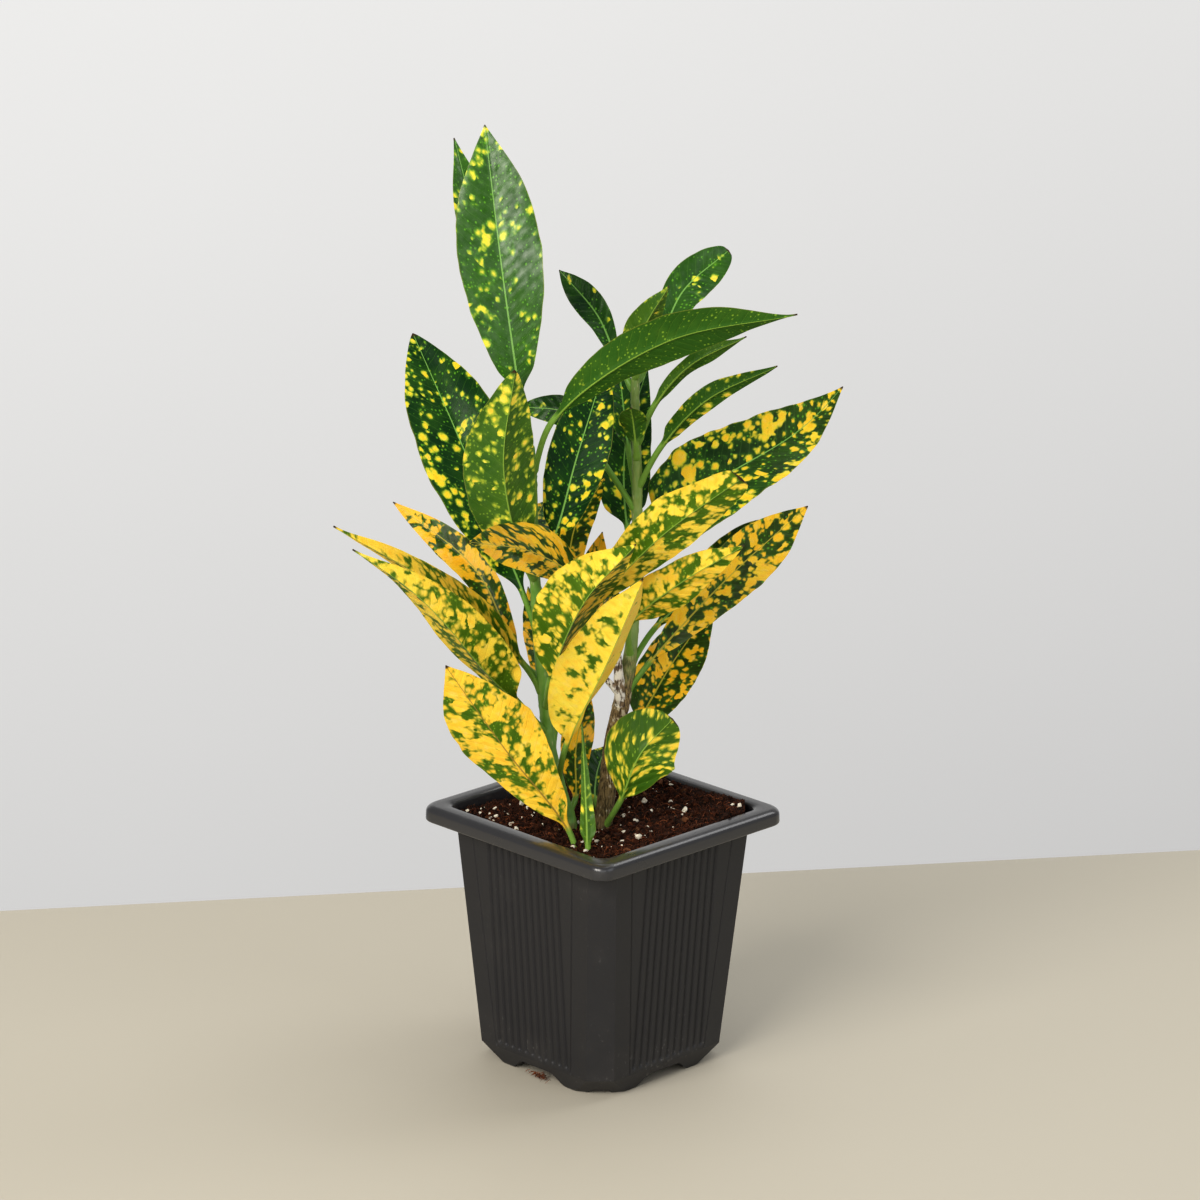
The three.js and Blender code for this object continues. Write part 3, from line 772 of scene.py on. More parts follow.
class Tube:
    """A closed piece that is rolled up, whose skin() gives each point of its surface."""

    columns: int
    rows: int
    skin: Putter

    def publish(self, name: str, finish: bpy.types.Material, slot: str, replaces: str = "") -> None:
        """Makes the piece."""
        bm = bmesh.new()
        roll_up(bm, self.columns, self.rows, self.skin)
        publish(name, close(bm), [finish], replaces)


def square_to(direction: Vector, tangent: Vector) -> Vector:
    """Returns a direction made square to a tangent, of length 1."""
    return (direction - tangent * direction.dot(tangent)).normalized()


def outward(tangent: Vector, column: int, columns: int) -> Vector:
    """Returns the direction away from a tube's axis at one of its columns."""
    side = square_to(Vector((1, 0, 0)), tangent)
    angle = math.tau * column / columns
    return side * math.cos(angle) + tangent.cross(side) * math.sin(angle)


@dataclass
class Stem(Tube):
    """A stem: a tapering tube with a rounded top, a swelling at each leaf and a scar below it."""

    name: str
    route: Sequence[Point]
    radii: Pair
    rough_below: float
    rough: float
    finish: StemFinish
    columns: int = 32
    rows: int = 220
    swelling: float = 0.9
    swelling_spread: float = 2.6
    swelling_reach: float = 9.0
    scar: float = 0.22
    scar_drop: float = 3.2
    scar_spread: float = 0.7
    bark_thickness: float = 0.0
    joints: list[tuple[float, Vector]] = field(default_factory=list)

    def __post_init__(self) -> None:
        """Lays the stem's path."""
        self.path = Spline([Vector(point) for point in self.route])

    def radius(self, share: float) -> float:
        """Returns the plain radius at a share of the length."""
        top = clamp((share - 0.992) / 0.008)
        return lerp(*self.radii, share) * math.sqrt(max(0.0, 1 - top * top))

    def add_joint(self, height: float, towards: Vector) -> Vector:
        """Notes that a leaf grows here, and returns the point where it does."""
        point = self.path.at_height(height)
        self.joints.append((point.z, (towards - point).normalized()))
        return point

    def swell(self, height: float, away: Vector) -> float:
        """Returns how far the skin stands out near the leaves' roots."""
        total = 0.0
        for joint, towards in self.joints:
            above = height - joint
            if abs(above) < self.swelling_reach:
                facing = max(0.0, away.dot(towards))
                bulge = math.exp(-((above / self.swelling_spread) ** 2))
                total += self.swelling * bulge * facing**2
                total += self.scar * math.exp(-(((above + self.scar_drop) / self.scar_spread) ** 2))
        return min(total, 1.5)

    def skin(self, column: int, row: int) -> Vector:
        """Returns one point of the stem's surface."""
        share = row / self.rows
        centre = self.path.at(share)
        away = outward(self.path.tangent(share), column, self.columns)
        radius = self.radius(share)
        if radius < 0.01:
            return centre
        woody = 1 - smoothstep(centre.z, self.rough_below - 12, self.rough_below + 8)
        radius += self.bark_thickness * woody
        grain = Vector((away.x * 2.4, away.y * 2.4, centre.z * 0.16))
        fissures = noise.fractal(grain, 0.6, 2.2, 4) * self.rough * woody
        lumps = noise.noise(centre * 0.12 + away * 0.7) * 0.15
        reach = radius * (1 + fissures * 0.045) + lumps + self.swell(centre.z, away)
        return centre + away * reach

    def build(self) -> None:
        """Makes the stem."""
        slot = "bark" if self.rough else "green_stem"
        self.publish(f"{self.name}_skin", self.finish.build(), slot, self.name)


@dataclass
class Stub(Tube):
    """A short broken twig on a stem, with a ragged pale end."""

    name: str
    start: Point
    end: Point
    radii: Pair
    finish: StemFinish
    columns: int = 18
    rows: int = 22

    def skin(self, column: int, row: int) -> Vector:
        """Returns one point of the twig's surface."""
        start, end = Vector(self.start), Vector(self.end)
        share = clamp((row - 1) / (self.rows - 4))
        inside = clamp((row - self.rows + 3) / 3)
        tangent = (end - start).normalized()
        away = outward(tangent, column, self.columns)
        radius = lerp(*self.radii, share) * (1 - inside)
        ragged = noise.noise(away * 1.6 + Vector((3, 1, 7))) * 1.3 * share - inside * 0.5
        flaky = 1 + noise.noise(away * 2.2 + tangent * share * 5) * 0.16
        return start.lerp(end, share) + tangent * ragged + away * radius * flaky

    def build(self) -> None:
        """Makes the twig."""
        self.publish(self.name, self.finish.build(), "bark")


@dataclass
class Bud(Tube):
    """A small pointed bud at the tip of a stem."""

    name: str
    foot: Point
    tip: Point
    radius: float
    finish: bpy.types.Material
    columns: int = 14
    rows: int = 16

    def skin(self, column: int, row: int) -> Vector:
        """Returns one point of the bud's surface."""
        foot, tip = Vector(self.foot), Vector(self.tip)
        share = row / self.rows
        tangent = (tip - foot).normalized()
        side = square_to(Vector((1, 0.2, 0)), tangent)
        angle = math.tau * column / self.columns
        away = side * math.cos(angle) + tangent.cross(side) * math.sin(angle) * 0.7
        fullness = math.sin(math.pi * share**0.6) ** 0.8 * (1 - 0.45 * share)
        seam = 1 - 0.16 * max(0.0, math.cos(angle * 2)) ** 6
        bend = side * (math.sin(math.pi * share) * 0.3)
        return foot.lerp(tip, share) + bend + away * (self.radius * fullness * seam)

    def build(self) -> None:
        """Makes the bud."""
        self.publish(self.name, self.finish, "leaf_green")


# Leaves


class Kind(Enum):
    """Old green leaves and young gold ones."""

    GREEN = "leaf_green"
    GOLD = "leaf_gold"


class Root(Enum):
    """What a leaf grows from."""

    LEFT = "left stem"
    RIGHT = "right stem"
    SOIL = "soil"


VIEWER = (0.0, -1.0, 0.3)
AWAY = (0.0, 1.0, 0.3)


@dataclass
class LeafSheet:
    """The flat sheet that every leaf is shaped from.

    A corner's X runs across from -1 to 1, its Y counts the rows from the petiole's foot to the
    tip, and its Z is 0.1 on the upper face and -0.1 on the lower one.
    """

    columns: int = 28
    petiole_rows: int = 10
    blade_rows: int = 96
    crowding: float = 1.4

    def build(self) -> bmesh.types.BMesh:
        """Returns the sheet, with upper faces 0 and lower faces 1."""
        rows = self.petiole_rows + self.blade_rows
        bm = lattice(self.columns, rows)
        for vert in bm.verts:
            spread = vert.co.x * 2 - 1
            across = math.copysign(abs(spread) ** self.crowding, spread)
            vert.co = (across, round(vert.co.y * rows), 0.1)
        upper_rim = [edge for edge in bm.edges if edge.is_boundary]
        copied = bmesh.ops.duplicate(bm, geom=bm.verts[:] + bm.edges[:] + bm.faces[:])
        lower = [item for item in copied["geom"] if isinstance(item, bmesh.types.BMFace)]
        lower_verts = [item for item in copied["geom"] if isinstance(item, bmesh.types.BMVert)]
        lower_edges = [item for item in copied["geom"] if isinstance(item, bmesh.types.BMEdge)]
        for vert in lower_verts:
            vert.co.z = -0.1
        bmesh.ops.reverse_faces(bm, faces=lower)
        for face in lower:
            face.material_index = 1
        lower_rim = [edge for edge in lower_edges if edge.is_boundary]
        bmesh.ops.bridge_loops(bm, edges=upper_rim + lower_rim)
        return bm


@dataclass
class Leaf:
    """One leaf: a petiole that opens into a blade along a curved midrib.

    start, middle and tip are the blade's, height is where it leaves its stem, and looks is the
    way that its upper face turns. cover is its share of gold, which changes by drift from the
    blade's start to its tip, streak draws its spots out along the side veins, point sharpens its
    tip, and knee is how much its petiole swells near the stem.
    """

    name: str
    kind: Kind
    grows_from: Root
    height: float
    start: Point
    middle: Point
    tip: Point
    width: float
    cover: float
    warmth: float = 0.15
    fresh: float = 0.2
    broadest: float = 0.55
    looks: Point = VIEWER
    fold: float = 12.0
    wave: float = 1.0
    streak: float = 0.3
    point: float = 0.3
    sway: float = 0.0
    # Painted shade that darkens the whole leaf's colour.
    shade: float = 0.0
    drift: float = 0.0
    root: Point = (0.0, 0.0, 0.0)
    petiole_radius: float = 1.25
    rib_end_radius: float = 0.4
    tip_radius: float = 0.2
    thickness: float = 0.42
    vein_spacing: float = 4.5
    vein_slope: float = 0.8
    vein_relief: float = 0.13
    ripple_rise: float = 1.1
    lump_rise: float = 0.7
    knee: float = 0.5
    knee_place: float = 3.5
    knee_spread: float = 2.2

    def lay(self, stems: dict[Root, Stem]) -> None:
        """Settles where the leaf grows from, on one of the stems or in the soil."""
        route = [Vector(point) for point in (self.start, self.middle, self.tip)]
        if self.grows_from in stems:
            foot = stems[self.grows_from].add_joint(self.height, route[0])
        else:
            foot = Vector(self.root)
        self.path = Spline([foot, *route])
        self.blade_start = self.path.share_at_point(1)
        self.skew = math.log(0.5) / math.log(self.broadest)
        draw = random.Random(self.name)
        self.seed = draw.uniform(0, 60)
        self.shift = Vector((draw.uniform(0, 50), draw.uniform(0, 50), 0))
        self.ripple = draw.uniform(8.5, 13.0)
        self.ripple_start = (draw.uniform(0, 6), draw.uniform(0, 6))

    def rib_radius(self, blade: float) -> float:
        """Returns the midrib's radius at a share of the blade."""
        return lerp(self.petiole_radius, self.rib_end_radius, blade)

    def half_width(self, blade: float, right: bool) -> float:
        """Returns half the width at a share of the blade, with the margin's slight unevenness."""
        if blade <= 0:
            return self.petiole_radius
        sharpness = 0.75 + self.point * blade * blade
        swell = max(0.0, math.sin(math.pi * blade**self.skew)) ** sharpness
        place = Vector((blade * 7, self.seed + (9 if right else 0), 0))
        uneven = 1 + self.wave * (0.06 * noise.noise(place) + 0.025 * noise.noise(place * 2.7))
        end = lerp(self.petiole_radius, self.tip_radius, smoothstep(blade, 0.0, 0.5))
        return end + self.width / 2 * swell * uneven

    def lift(self, blade: float, across: float, reach: float) -> float:
        """Returns how far a place of the blade stands above the midrib."""
        opened = smoothstep(blade, 0.0, 0.15)
        rise = abs(reach) * math.tan(math.radians(self.fold)) * opened * (1 - 0.22 * across**2)
        turn = self.ripple * blade + self.ripple_start[across > 0]
        rippled = self.ripple_rise * self.wave * math.sin(turn)
        rise += rippled * across * across * math.sin(math.pi * blade)
        place = Vector((reach * 0.09, blade * 5, self.seed))
        rise += self.lump_rise * noise.noise(place) * opened * min(1.0, abs(reach) / 4)
        along = blade * self.path.length * (1 - self.blade_start)
        other_side = 0.4 * self.vein_spacing if reach < 0 else 0.0
        turns = (along - abs(reach) * self.vein_slope + other_side) / self.vein_spacing
        shown = opened * min(1.0, abs(reach) / 2.5) * (1 - across**4)
        return rise + self.vein_relief * math.cos(math.tau * turns) * shown

    def shape(
        self, across: float, row: float, upper: bool, sheet: LeafSheet
    ) -> tuple[Vector, float, float]:
        """Finds one corner of the leaf.

        Args:
            across: From -1 at the left margin to 1 at the right one.
            row: The sheet's row.
            upper: Whether it is on the upper face.
            sheet: The sheet that the leaf is made from.

        Returns:
            The place, the reach from the midrib and the share of the blade, below 0 on the petiole.
        """
        if row <= sheet.petiole_rows:
            share = self.blade_start * row / sheet.petiole_rows
            blade = share / self.blade_start - 1
        else:
            blade = (row - sheet.petiole_rows) / sheet.blade_rows
            share = lerp(self.blade_start, 1.0, blade)
        tangent = self.path.tangent(share)
        normal = square_to(Vector(self.looks), tangent)
        side = tangent.cross(normal)
        face = 1 if upper else -1
        flat = smoothstep(blade, 0.0, 0.13)
        radius = self.rib_radius(max(0.0, blade))
        if blade < 0:
            walked = share * self.path.length
            radius += self.knee * math.exp(-(((walked - self.knee_place) / self.knee_spread) ** 2))
        reach = across * self.half_width(blade, across > 0)
        body = self.thickness / 2 * (1 - 0.6 * abs(across) ** 3)
        bulge = max(0.0, 1 - (reach / (radius * 1.15)) ** 2)
        body += (0.2 if upper else radius * 0.75) * bulge**0.8 * (1 - blade * 0.3)
        round_reach = radius * math.sin(across * math.pi / 2)
        round_rise = radius * max(0.06, math.cos(across * math.pi / 2)) * face
        reach = lerp(round_reach, reach, flat)
        rise = lerp(round_rise, self.lift(max(0.0, blade), across, reach) + body * face, flat)
        shift = self.sway * math.sin(math.tau * clamp(blade)) * flat
        return self.path.at(share) + side * (reach + shift) + normal * rise, reach, blade

    def build(
        self, sheet: LeafSheet, blank: bmesh.types.BMesh, finishes: Sequence[bpy.types.Material]
    ) -> None:
        """Makes the leaf.

        Args:
            sheet: The sheet that the leaf is made from.
            blank: That sheet's mesh, which is copied.
            finishes: The upper and the lower face.
        """
        bm = blank.copy()
        layers = bm.verts.layers.float_vector
        marks = [layers.new(name) for name in ("blade", "share", "speckle", "habit")]
        blade_length = self.path.length * (1 - self.blade_start)
        petiole_length = self.path.length * self.blade_start
        for vert in bm.verts:
            across, row, face = vert.co
            place, reach, blade = self.shape(across, row, face > 0, sheet)
            along = blade * (petiole_length if blade < 0 else blade_length)
            flat = Vector((reach / 10, along / 10, 0))
            sheared = Vector((flat.x, flat.y * 0.85 - abs(flat.x) * 0.8 * self.streak, 0))
            speckle = sheared + self.shift
            cover = self.cover + self.drift * (clamp(blade) - 0.5)
            # The third value carries the leaf's painted shade.
            share = Vector((across, blade, self.shade))
            habit = Vector((cover, self.warmth, self.fresh))
            for mark, value in zip(marks, (flat, share, speckle, habit)):
                vert[mark] = value
            vert.co = place
        publish(f"{self.name}_leaf", bm, finishes, f"leaf_{self.name}", 60.0)


LEAVES = [
    Leaf("top_tall", Kind.GREEN, Root.LEFT, 258, (-35, -13, 290), (-43, -6, 344), (-50.5, 12, 399),
         34, 0.09, fresh=0.7, broadest=0.55, shade=0.07),
    Leaf("top_back", Kind.GREEN, Root.LEFT, 262, (-35, 0, 288), (-50, 26, 336), (-64, 50, 385), 22,
         0.15, fresh=0.7, broadest=0.5, looks=(0.6, -1, 0.2), fold=14, wave=0.8),
    Leaf("left_dark", Kind.GREEN, Root.LEFT, 190, (-33.5, -10, 207), (-56.5, 6, 259.3),
         (-80.5, 34, 306), 38, 0.20, fresh=0.15, point=0.1, broadest=0.54, looks=(0.3, -1, 0.3),
         fold=14, wave=1.2),
    Leaf("left_olive", Kind.GREEN, Root.LEFT, 214, (-34, -24.5, 226.7), (-41.5, -41, 270.7),
         (-36.8, -50, 313), 30.5, 0.20, fresh=0.35, point=0.05, broadest=0.48,
         looks=(-0.4, 0.9, 0.3), fold=22),
    Leaf("arch_orange", Kind.GOLD, Root.LEFT, 208, (-8, -22, 214), (-28.4, -36.3, 232.7),
         (-55, -55.5, 243), 24, 0.7, streak=1.3, shade=0.26, warmth=0.6, looks=(0, -0.7, 0.7),
         fold=10, wave=1.5),
    Leaf("centre_upper", Kind.GOLD, Root.LEFT, 158, (-22, -28, 177), (-8, -55, 219), (12, -70, 247),
         27, 0.56, broadest=0.5, looks=(-0.25, 0.8, 0.1), fold=42),
    Leaf("centre_gold", Kind.GOLD, Root.LEFT, 126, (-15, -34, 151), (1, -64, 196), (15, -80, 236),
         31, 1.12, warmth=0.12, shade=0.05, broadest=0.5, looks=(-0.5, 0.75, 0.1), fold=38),
    Leaf("pale_right", Kind.GOLD, Root.LEFT, 198, (-8, -26, 208.5), (24.2, -44, 244.8),
         (54, -56, 271), 25.5, 0.6, drift=0.25, broadest=0.55, point=-0.45,
         looks=(-0.15, 0.85, 0.25), fold=12),
    Leaf("low_left", Kind.GOLD, Root.SOIL, 0, (-14, -28, 111), (-40, -42, 151), (-64, -56, 191), 33,
         0.78, warmth=0.45, broadest=0.58, looks=AWAY, wave=1.2, root=(-9.5, -30, 97)),
    Leaf("left_low", Kind.GOLD, Root.LEFT, 147, (-35.5, -24, 165.5), (-60.5, -38, 199.5),
         (-102, -44, 236), 26, 0.6, drift=0.3, shade=0.14, sway=2.5, broadest=0.38, point=0.8,
         looks=(0.4, 0.75, 0.25), fold=28),
    Leaf("left_mid", Kind.GOLD, Root.LEFT, 163, (-33, -14, 178), (-66.5, -16, 210.8),
         (-111, -18, 238), 18, 0.66, drift=0.6, point=0.8, streak=1.2, shade=0.1, warmth=0.3,
         broadest=0.44, looks=(0, 1, 1), fold=16, wave=0.8),
    Leaf("left_upper", Kind.GOLD, Root.LEFT, 171, (-35, 0, 176), (-53.8, 20, 208.3), (-89, 42, 231),
         13.5, 0.58, drift=0.4, warmth=0.65, shade=0.12),
    Leaf("back_left", Kind.GOLD, Root.LEFT, 152, (-25, 8, 158), (-27.8, 34, 172), (-32.5, 56, 190),
         11, 0.55, warmth=0.7),
    Leaf("big_green", Kind.GREEN, Root.LEFT, 259, (-20.5, -25, 287.3), (23.5, -38, 322.5),
         (75.5, -42, 335), 24, -0.2, fresh=0.0, broadest=0.54, looks=(0, 0.9, 0.5), point=0.9),
    Leaf("centre_dark", Kind.GREEN, Root.LEFT, 222, (-22, -14, 231), (-12, -10, 266), (0, 2, 304),
         24, 0.17, fresh=0.0, broadest=0.5, wave=0.8),
    Leaf("centre_back", Kind.GOLD, Root.LEFT, 188, (-17, -2, 207), (-12.5, 12, 230),
         (-0.5, 26, 247), 13, 0.6, warmth=0.6, broadest=0.5, wave=0.8),
    Leaf("small_tip", Kind.GOLD, Root.LEFT, 180, (-15, 0, 189), (-6, 12, 207.5), (-1.3, 26, 223.5),
         12, 0.7, warmth=0.8, broadest=0.5, fold=14, wave=0.6),
    Leaf("right_tip", Kind.GREEN, Root.RIGHT, 290, (20, 24, 302), (30.8, 40, 323.2),
         (50, 56, 337.2), 17, 0.02, fresh=0.55, broadest=0.62, wave=0.6, point=-0.3),
    Leaf("right_top_left", Kind.GREEN, Root.RIGHT, 286, (4, 22, 299), (-4.2, 36, 314),
         (-20.2, 50, 329.5), 12, 0.07, fresh=0.3, broadest=0.6, wave=0.6),
    Leaf("young", Kind.GREEN, Root.RIGHT, 292, (13, 8, 302), (14.8, 0, 318), (24.5, -6, 337), 14,
         0.10, fresh=0.4, broadest=0.34, looks=(0, 0.9, 0.5), fold=30, wave=0.4),
    Leaf("right_slim", Kind.GREEN, Root.RIGHT, 264, (20, 12, 283), (34, 6, 301.2), (56.5, 0, 314.8),
         7.5, -0.1, fresh=0.3, broadest=0.58, looks=AWAY, fold=14, wave=0.6, point=0.8),
    Leaf("right_olive", Kind.GREEN, Root.RIGHT, 246, (23, 8, 266.5), (41.2, -4, 289.6),
         (69, -10, 305.2), 9.5, 0.12, shade=0.18, fresh=0.0, broadest=0.48, looks=AWAY, fold=14,
         wave=0.8),
    Leaf("right_long", Kind.GOLD, Root.RIGHT, 206, (22.5, 20, 221.5), (57, 40, 248), (99, 60, 278),
         38.5, 0.33, sway=-3.2, drift=0.2, shade=0.06, warmth=0.35, broadest=0.35,
         looks=(-0.25, -0.86, 0.6), fold=24, wave=1.5),
    Leaf("right_mid", Kind.GOLD, Root.RIGHT, 158, (19, 4, 174), (51.5, 14, 208.3), (84, 26, 235.7),
         23, 0.6, shade=0.18, drift=-0.15, warmth=0.5, broadest=0.6, wave=1.2),
    Leaf("right_behind", Kind.GOLD, Root.RIGHT, 170, (21, 16, 185), (45, 34, 201), (78, 54, 223),
         22, 0.42, broadest=0.6),
    Leaf("right_front", Kind.GOLD, Root.RIGHT, 176, (11, -14, 197), (30.3, -28.5, 218.5),
         (56, -38, 237.5), 20, 0.58, warmth=0.35, broadest=0.42, looks=AWAY, wave=0.8),
    Leaf("right_low", Kind.GOLD, Root.RIGHT, 134, (13.5, 14, 143), (28.5, 34, 163.5),
         (46.8, 52, 185), 24, 0.54, warmth=0.7, broadest=0.45),
    Leaf("low_right", Kind.GOLD, Root.RIGHT, 103, (7.5, -15, 120), (15.5, -22, 143),
         (28.5, -16, 156), 31, 0.36, streak=1.1, broadest=0.6, point=-0.3, looks=(0.2, 0.9, 0.2),
         fold=14),
    Leaf("behind_right", Kind.GREEN, Root.RIGHT, 218, (9, 26, 226), (8, 44, 256), (17, 62, 285), 22,
         0.12, broadest=0.4, wave=0.8),
    Leaf("to_camera", Kind.GREEN, Root.RIGHT, 258, (12, 6, 268), (10.8, 0, 279), (9.8, -8, 286.5),
         11, 0.04, looks=(0, 0.7, 0.7), fold=10, wave=0.4),
    Leaf("back_curl", Kind.GREEN, Root.RIGHT, 236, (-2, 16, 257.7), (-16, 28, 273.8),
         (-34, 36, 274.5), 12.5, 0.12, wave=0.6, point=-0.3),
    Leaf("slim_front", Kind.GREEN, Root.SOIL, 0, (-6, -35, 107), (-7, -31, 128), (-9, -24, 157), 5,
         0.03, fresh=0.45, broadest=0.15, looks=(0.3, 0.9, 0), fold=10, wave=0.2,
         root=(-6, -36, 97)),
    Leaf("low_back", Kind.GOLD, Root.LEFT, 112, (-11.5, 0, 115), (-11.5, 14, 132), (-6.5, 26, 155),
         13, 0.6, warmth=0.7, wave=0.6),
    Leaf("dark_low", Kind.GREEN, Root.RIGHT, 108, (-3, 6, 112), (-2.5, 22, 119), (1, 36, 126), 17,
         0.2, wave=0.8),
    Leaf("back_tall", Kind.GREEN, Root.LEFT, 207, (-31, 5, 215), (-31, 28, 222), (-26, 48, 230), 18,
         0.3, warmth=0.5),
    Leaf("back_right", Kind.GOLD, Root.RIGHT, 190, (7, 16, 180), (-2, 44, 182), (-9, 70, 184), 24,
         0.6, warmth=0.6),
    Leaf("back_low", Kind.GOLD, Root.LEFT, 136, (-20, 2, 145), (-14, 29, 159), (-9, 53, 172), 20,
         0.65),
    Leaf("back_mid", Kind.GREEN, Root.RIGHT, 240, (9, 21, 262), (6.5, 35, 279), (5, 47, 290), 13,
         0.15),
]


# Pot and soil


TURN = Matrix.Rotation(math.radians(45), 4, "Z")

Row = tuple[float, float, float, float]


class Zone(Enum):
    """Where a column of the pot's shell lies: on a corner, or on a side, counted from where."""

    CORNER = "corner"
    START = "start"
    MIDDLE = "middle"
    END = "end"


@dataclass
class Pot:
    """The square nursery pot, thin-walled, with fluted sides, a flat rim and arched feet.

    The rows of its shell run from the underside of the floor round the foot, up the wall, over
    the rim and down inside. Sizes across are half the pot's, from its axis to a side.
    """

    OUTSIDE_FROM: ClassVar[int] = 4
    WALL_ROWS: ClassVar[range] = range(12, 31)

    finish: PlasticFinish
    height: float = 112.0
    wall_top_half: float = 47.1
    wall_foot_half: float = 39.6
    wall: float = 1.7
    corner: float = 8.3
    flute_count: int = 11
    flute_pitch: float = 4.0
    flute_width: float = 2.2
    flute_depth: float = 0.85
    flute_low: float = 11.0
    flute_high: float = 102.0
    frame_inset: float = 9.2
    frame_depth: float = 0.5
    frame_low: float = 8.4
    frame_high: float = 102.0
    arch_height: float = 5.2
    arch_top: float = 7.8
    arch_foot: float = 16.6
    notch_height: float = 1.7
    notch_half: float = 3.0
    floor_low: float = 5.6
    floor_high: float = 7.4
    drain_radius: float = 4.0
    drain_reach: float = 27.0
    corner_steps: int = 14
    corner_length: float = 10.6
    flutes_room: float = 31.3
    foot_middle: float = 34.0
    wall_foot: float = 8.5
    wall_top: float = 105.0

    def wall_half(self, z: float) -> float:
        """Returns the outside of the wall at a height."""
        share = (z - self.wall_foot) / (self.wall_top - self.wall_foot)
        return lerp(self.wall_foot_half, self.wall_top_half, share)

    def foot_rows(self) -> list[Row]:
        """Returns the rows from the floor's underside round the foot to the wall."""
        inside = [(self.floor_low, 31.9), (2.8, 32.2), (0.3, 32.5), (0, 32.8), (0, 35.5)]
        outside = [(0.15, 35.9, 14.9, 0.4), (0.7, 36.3, 14.3, 0.38), (1.6, 36.65, 13.6, 0.35)]
        outside += [(2.8, 37.15, 12.6, 0.3), (4.2, 37.75, 11.5, 0.25), (5.6, 38.35, 10.4, 0.15)]
        return [(z, half, 15, 0.4) for z, half in inside] + outside + [(8.1, 39.4, 8.6, 0.08)]

    def rim_rows(self) -> list[Row]:
        """Returns the rows from the wall's top over the rim into the mouth."""
        top = self.height
        rows = [(104, 47.6, 8.3, 0.3), (104.8, 48.3, 8.3, 0.5)]
        rows += [(105.1, 49.4, 8, 0.7), (105.2, 53, 7, 1)]
        for step in range(5):
            turn = math.radians(-90 + 22.5 * step)
            rows.append((106.2 + math.sin(turn), 53.4 + math.cos(turn), 7, 1))
        rows.append((108.4, 54.35, 7, 1))
        for step in range(8):
            turn = math.radians(90 * step / 7)
            rows.append((top - 2.6 + 2.6 * math.sin(turn), 51.6 + 2.7 * math.cos(turn), 7, 1))
        rows += [(top, 49.5, 6.5, 1), (top, 47.3, 6, 1), (top - 0.15, 46.8, 6, 1)]
        return rows + [(top - 0.8, 46.2, 6, 1), (top - 1.6, 46.0, 6, 1), (106, 45.6, 7, 0.6)]

    def rows(self) -> list[Row]:
        """Returns the shell's rows as height, half size, corner cut and roundness."""
        heights = [self.wall_foot, 9.6, 10.5, 10.8, 11.2, 11.8, 14, 20, 30, 42, 54, 66, 78, 90, 98]
        heights += [101.2, 101.8, 102.2, 102.5]
        sides = [(z, self.wall_half(z), self.corner, 0.05) for z in heights]
        inner = [(z, self.wall_half(z) - self.wall, 7.8, 0.2) for z in (102, 80, 50, 25, 11.4)]
        inner += [(8.4, 36.6, 8.6, 0.25), (self.floor_high, 35.6, 9, 0.3)]
        return self.foot_rows() + sides + self.rim_rows() + inner

    def offsets(self) -> list[tuple[Zone, float]]:
        """Returns the columns along one side, as places from its end or from its middle."""
        near_end = [0.8, 2.4, 4.5, 7.0, 8.5, 8.75, 8.9, 9.2, 9.5, 9.65, 9.9]
        shares = [-1.15, -0.8, -0.5, -0.25, 0, 0.25, 0.5, 0.8, 1.15]
        half = (self.flute_count - 1) / 2
        middle = []
        for index in range(self.flute_count):
            centre = (index - half) * self.flute_pitch
            middle += [(Zone.MIDDLE, centre + share * self.flute_width / 2) for share in shares]
        start = [(Zone.START, place) for place in near_end]
        return start + middle + [(Zone.END, place) for place in reversed(near_end)]

    def flute(self, offset: float, straight: float, z: float) -> float:
        """Returns how deep the wall is let in at a place of a side."""
        ends = smoothstep(z, self.flute_low - 0.9, self.flute_low + 0.6)
        ends *= 1 - smoothstep(z, self.flute_high - 0.8, self.flute_high + 0.5)
        reach = self.flute_pitch * (self.flute_count - 1) / 2
        near = round(clamp(offset, -reach, reach) / self.flute_pitch) * self.flute_pitch
        away = abs(offset - near) / (self.flute_width / 2)
        depth = self.flute_depth * (1 - smoothstep(away, 0.5, 1.1)) * ends
        frame_away = abs(straight - self.frame_inset - abs(offset)) / 0.4
        frame_ends = smoothstep(z, self.frame_low, self.frame_low + 1.4)
        frame_ends *= 1 - smoothstep(z, self.frame_high, self.frame_high + 0.6)
        return depth + self.frame_depth * (1 - smoothstep(frame_away, 0.4, 1.15)) * frame_ends

    def arch(self, offset: float, straight: float) -> float:
        """Returns how high the foot is cut away at a place of a side."""
        rise = self.arch_height * (1 - smoothstep(abs(offset), self.arch_top, self.arch_foot))
        past_corner = max(0.0, straight + self.corner_length - abs(offset) - self.notch_half)
        return max(rise, self.notch_height * (1 - smoothstep(past_corner, 0.0, 1.6)))

    def outer_half(self, z: float) -> float:
        """Returns the half size of the outside at a height below the wall."""
        ladder = self.rows()[self.OUTSIDE_FROM : self.WALL_ROWS.start + 1]
        for low, high in zip(ladder, ladder[1:]):
            if low[0] <= z <= high[0] and high[0] > low[0]:
                return lerp(low[1], high[1], (z - low[0]) / (high[0] - low[0]))
        return ladder[-1][1]

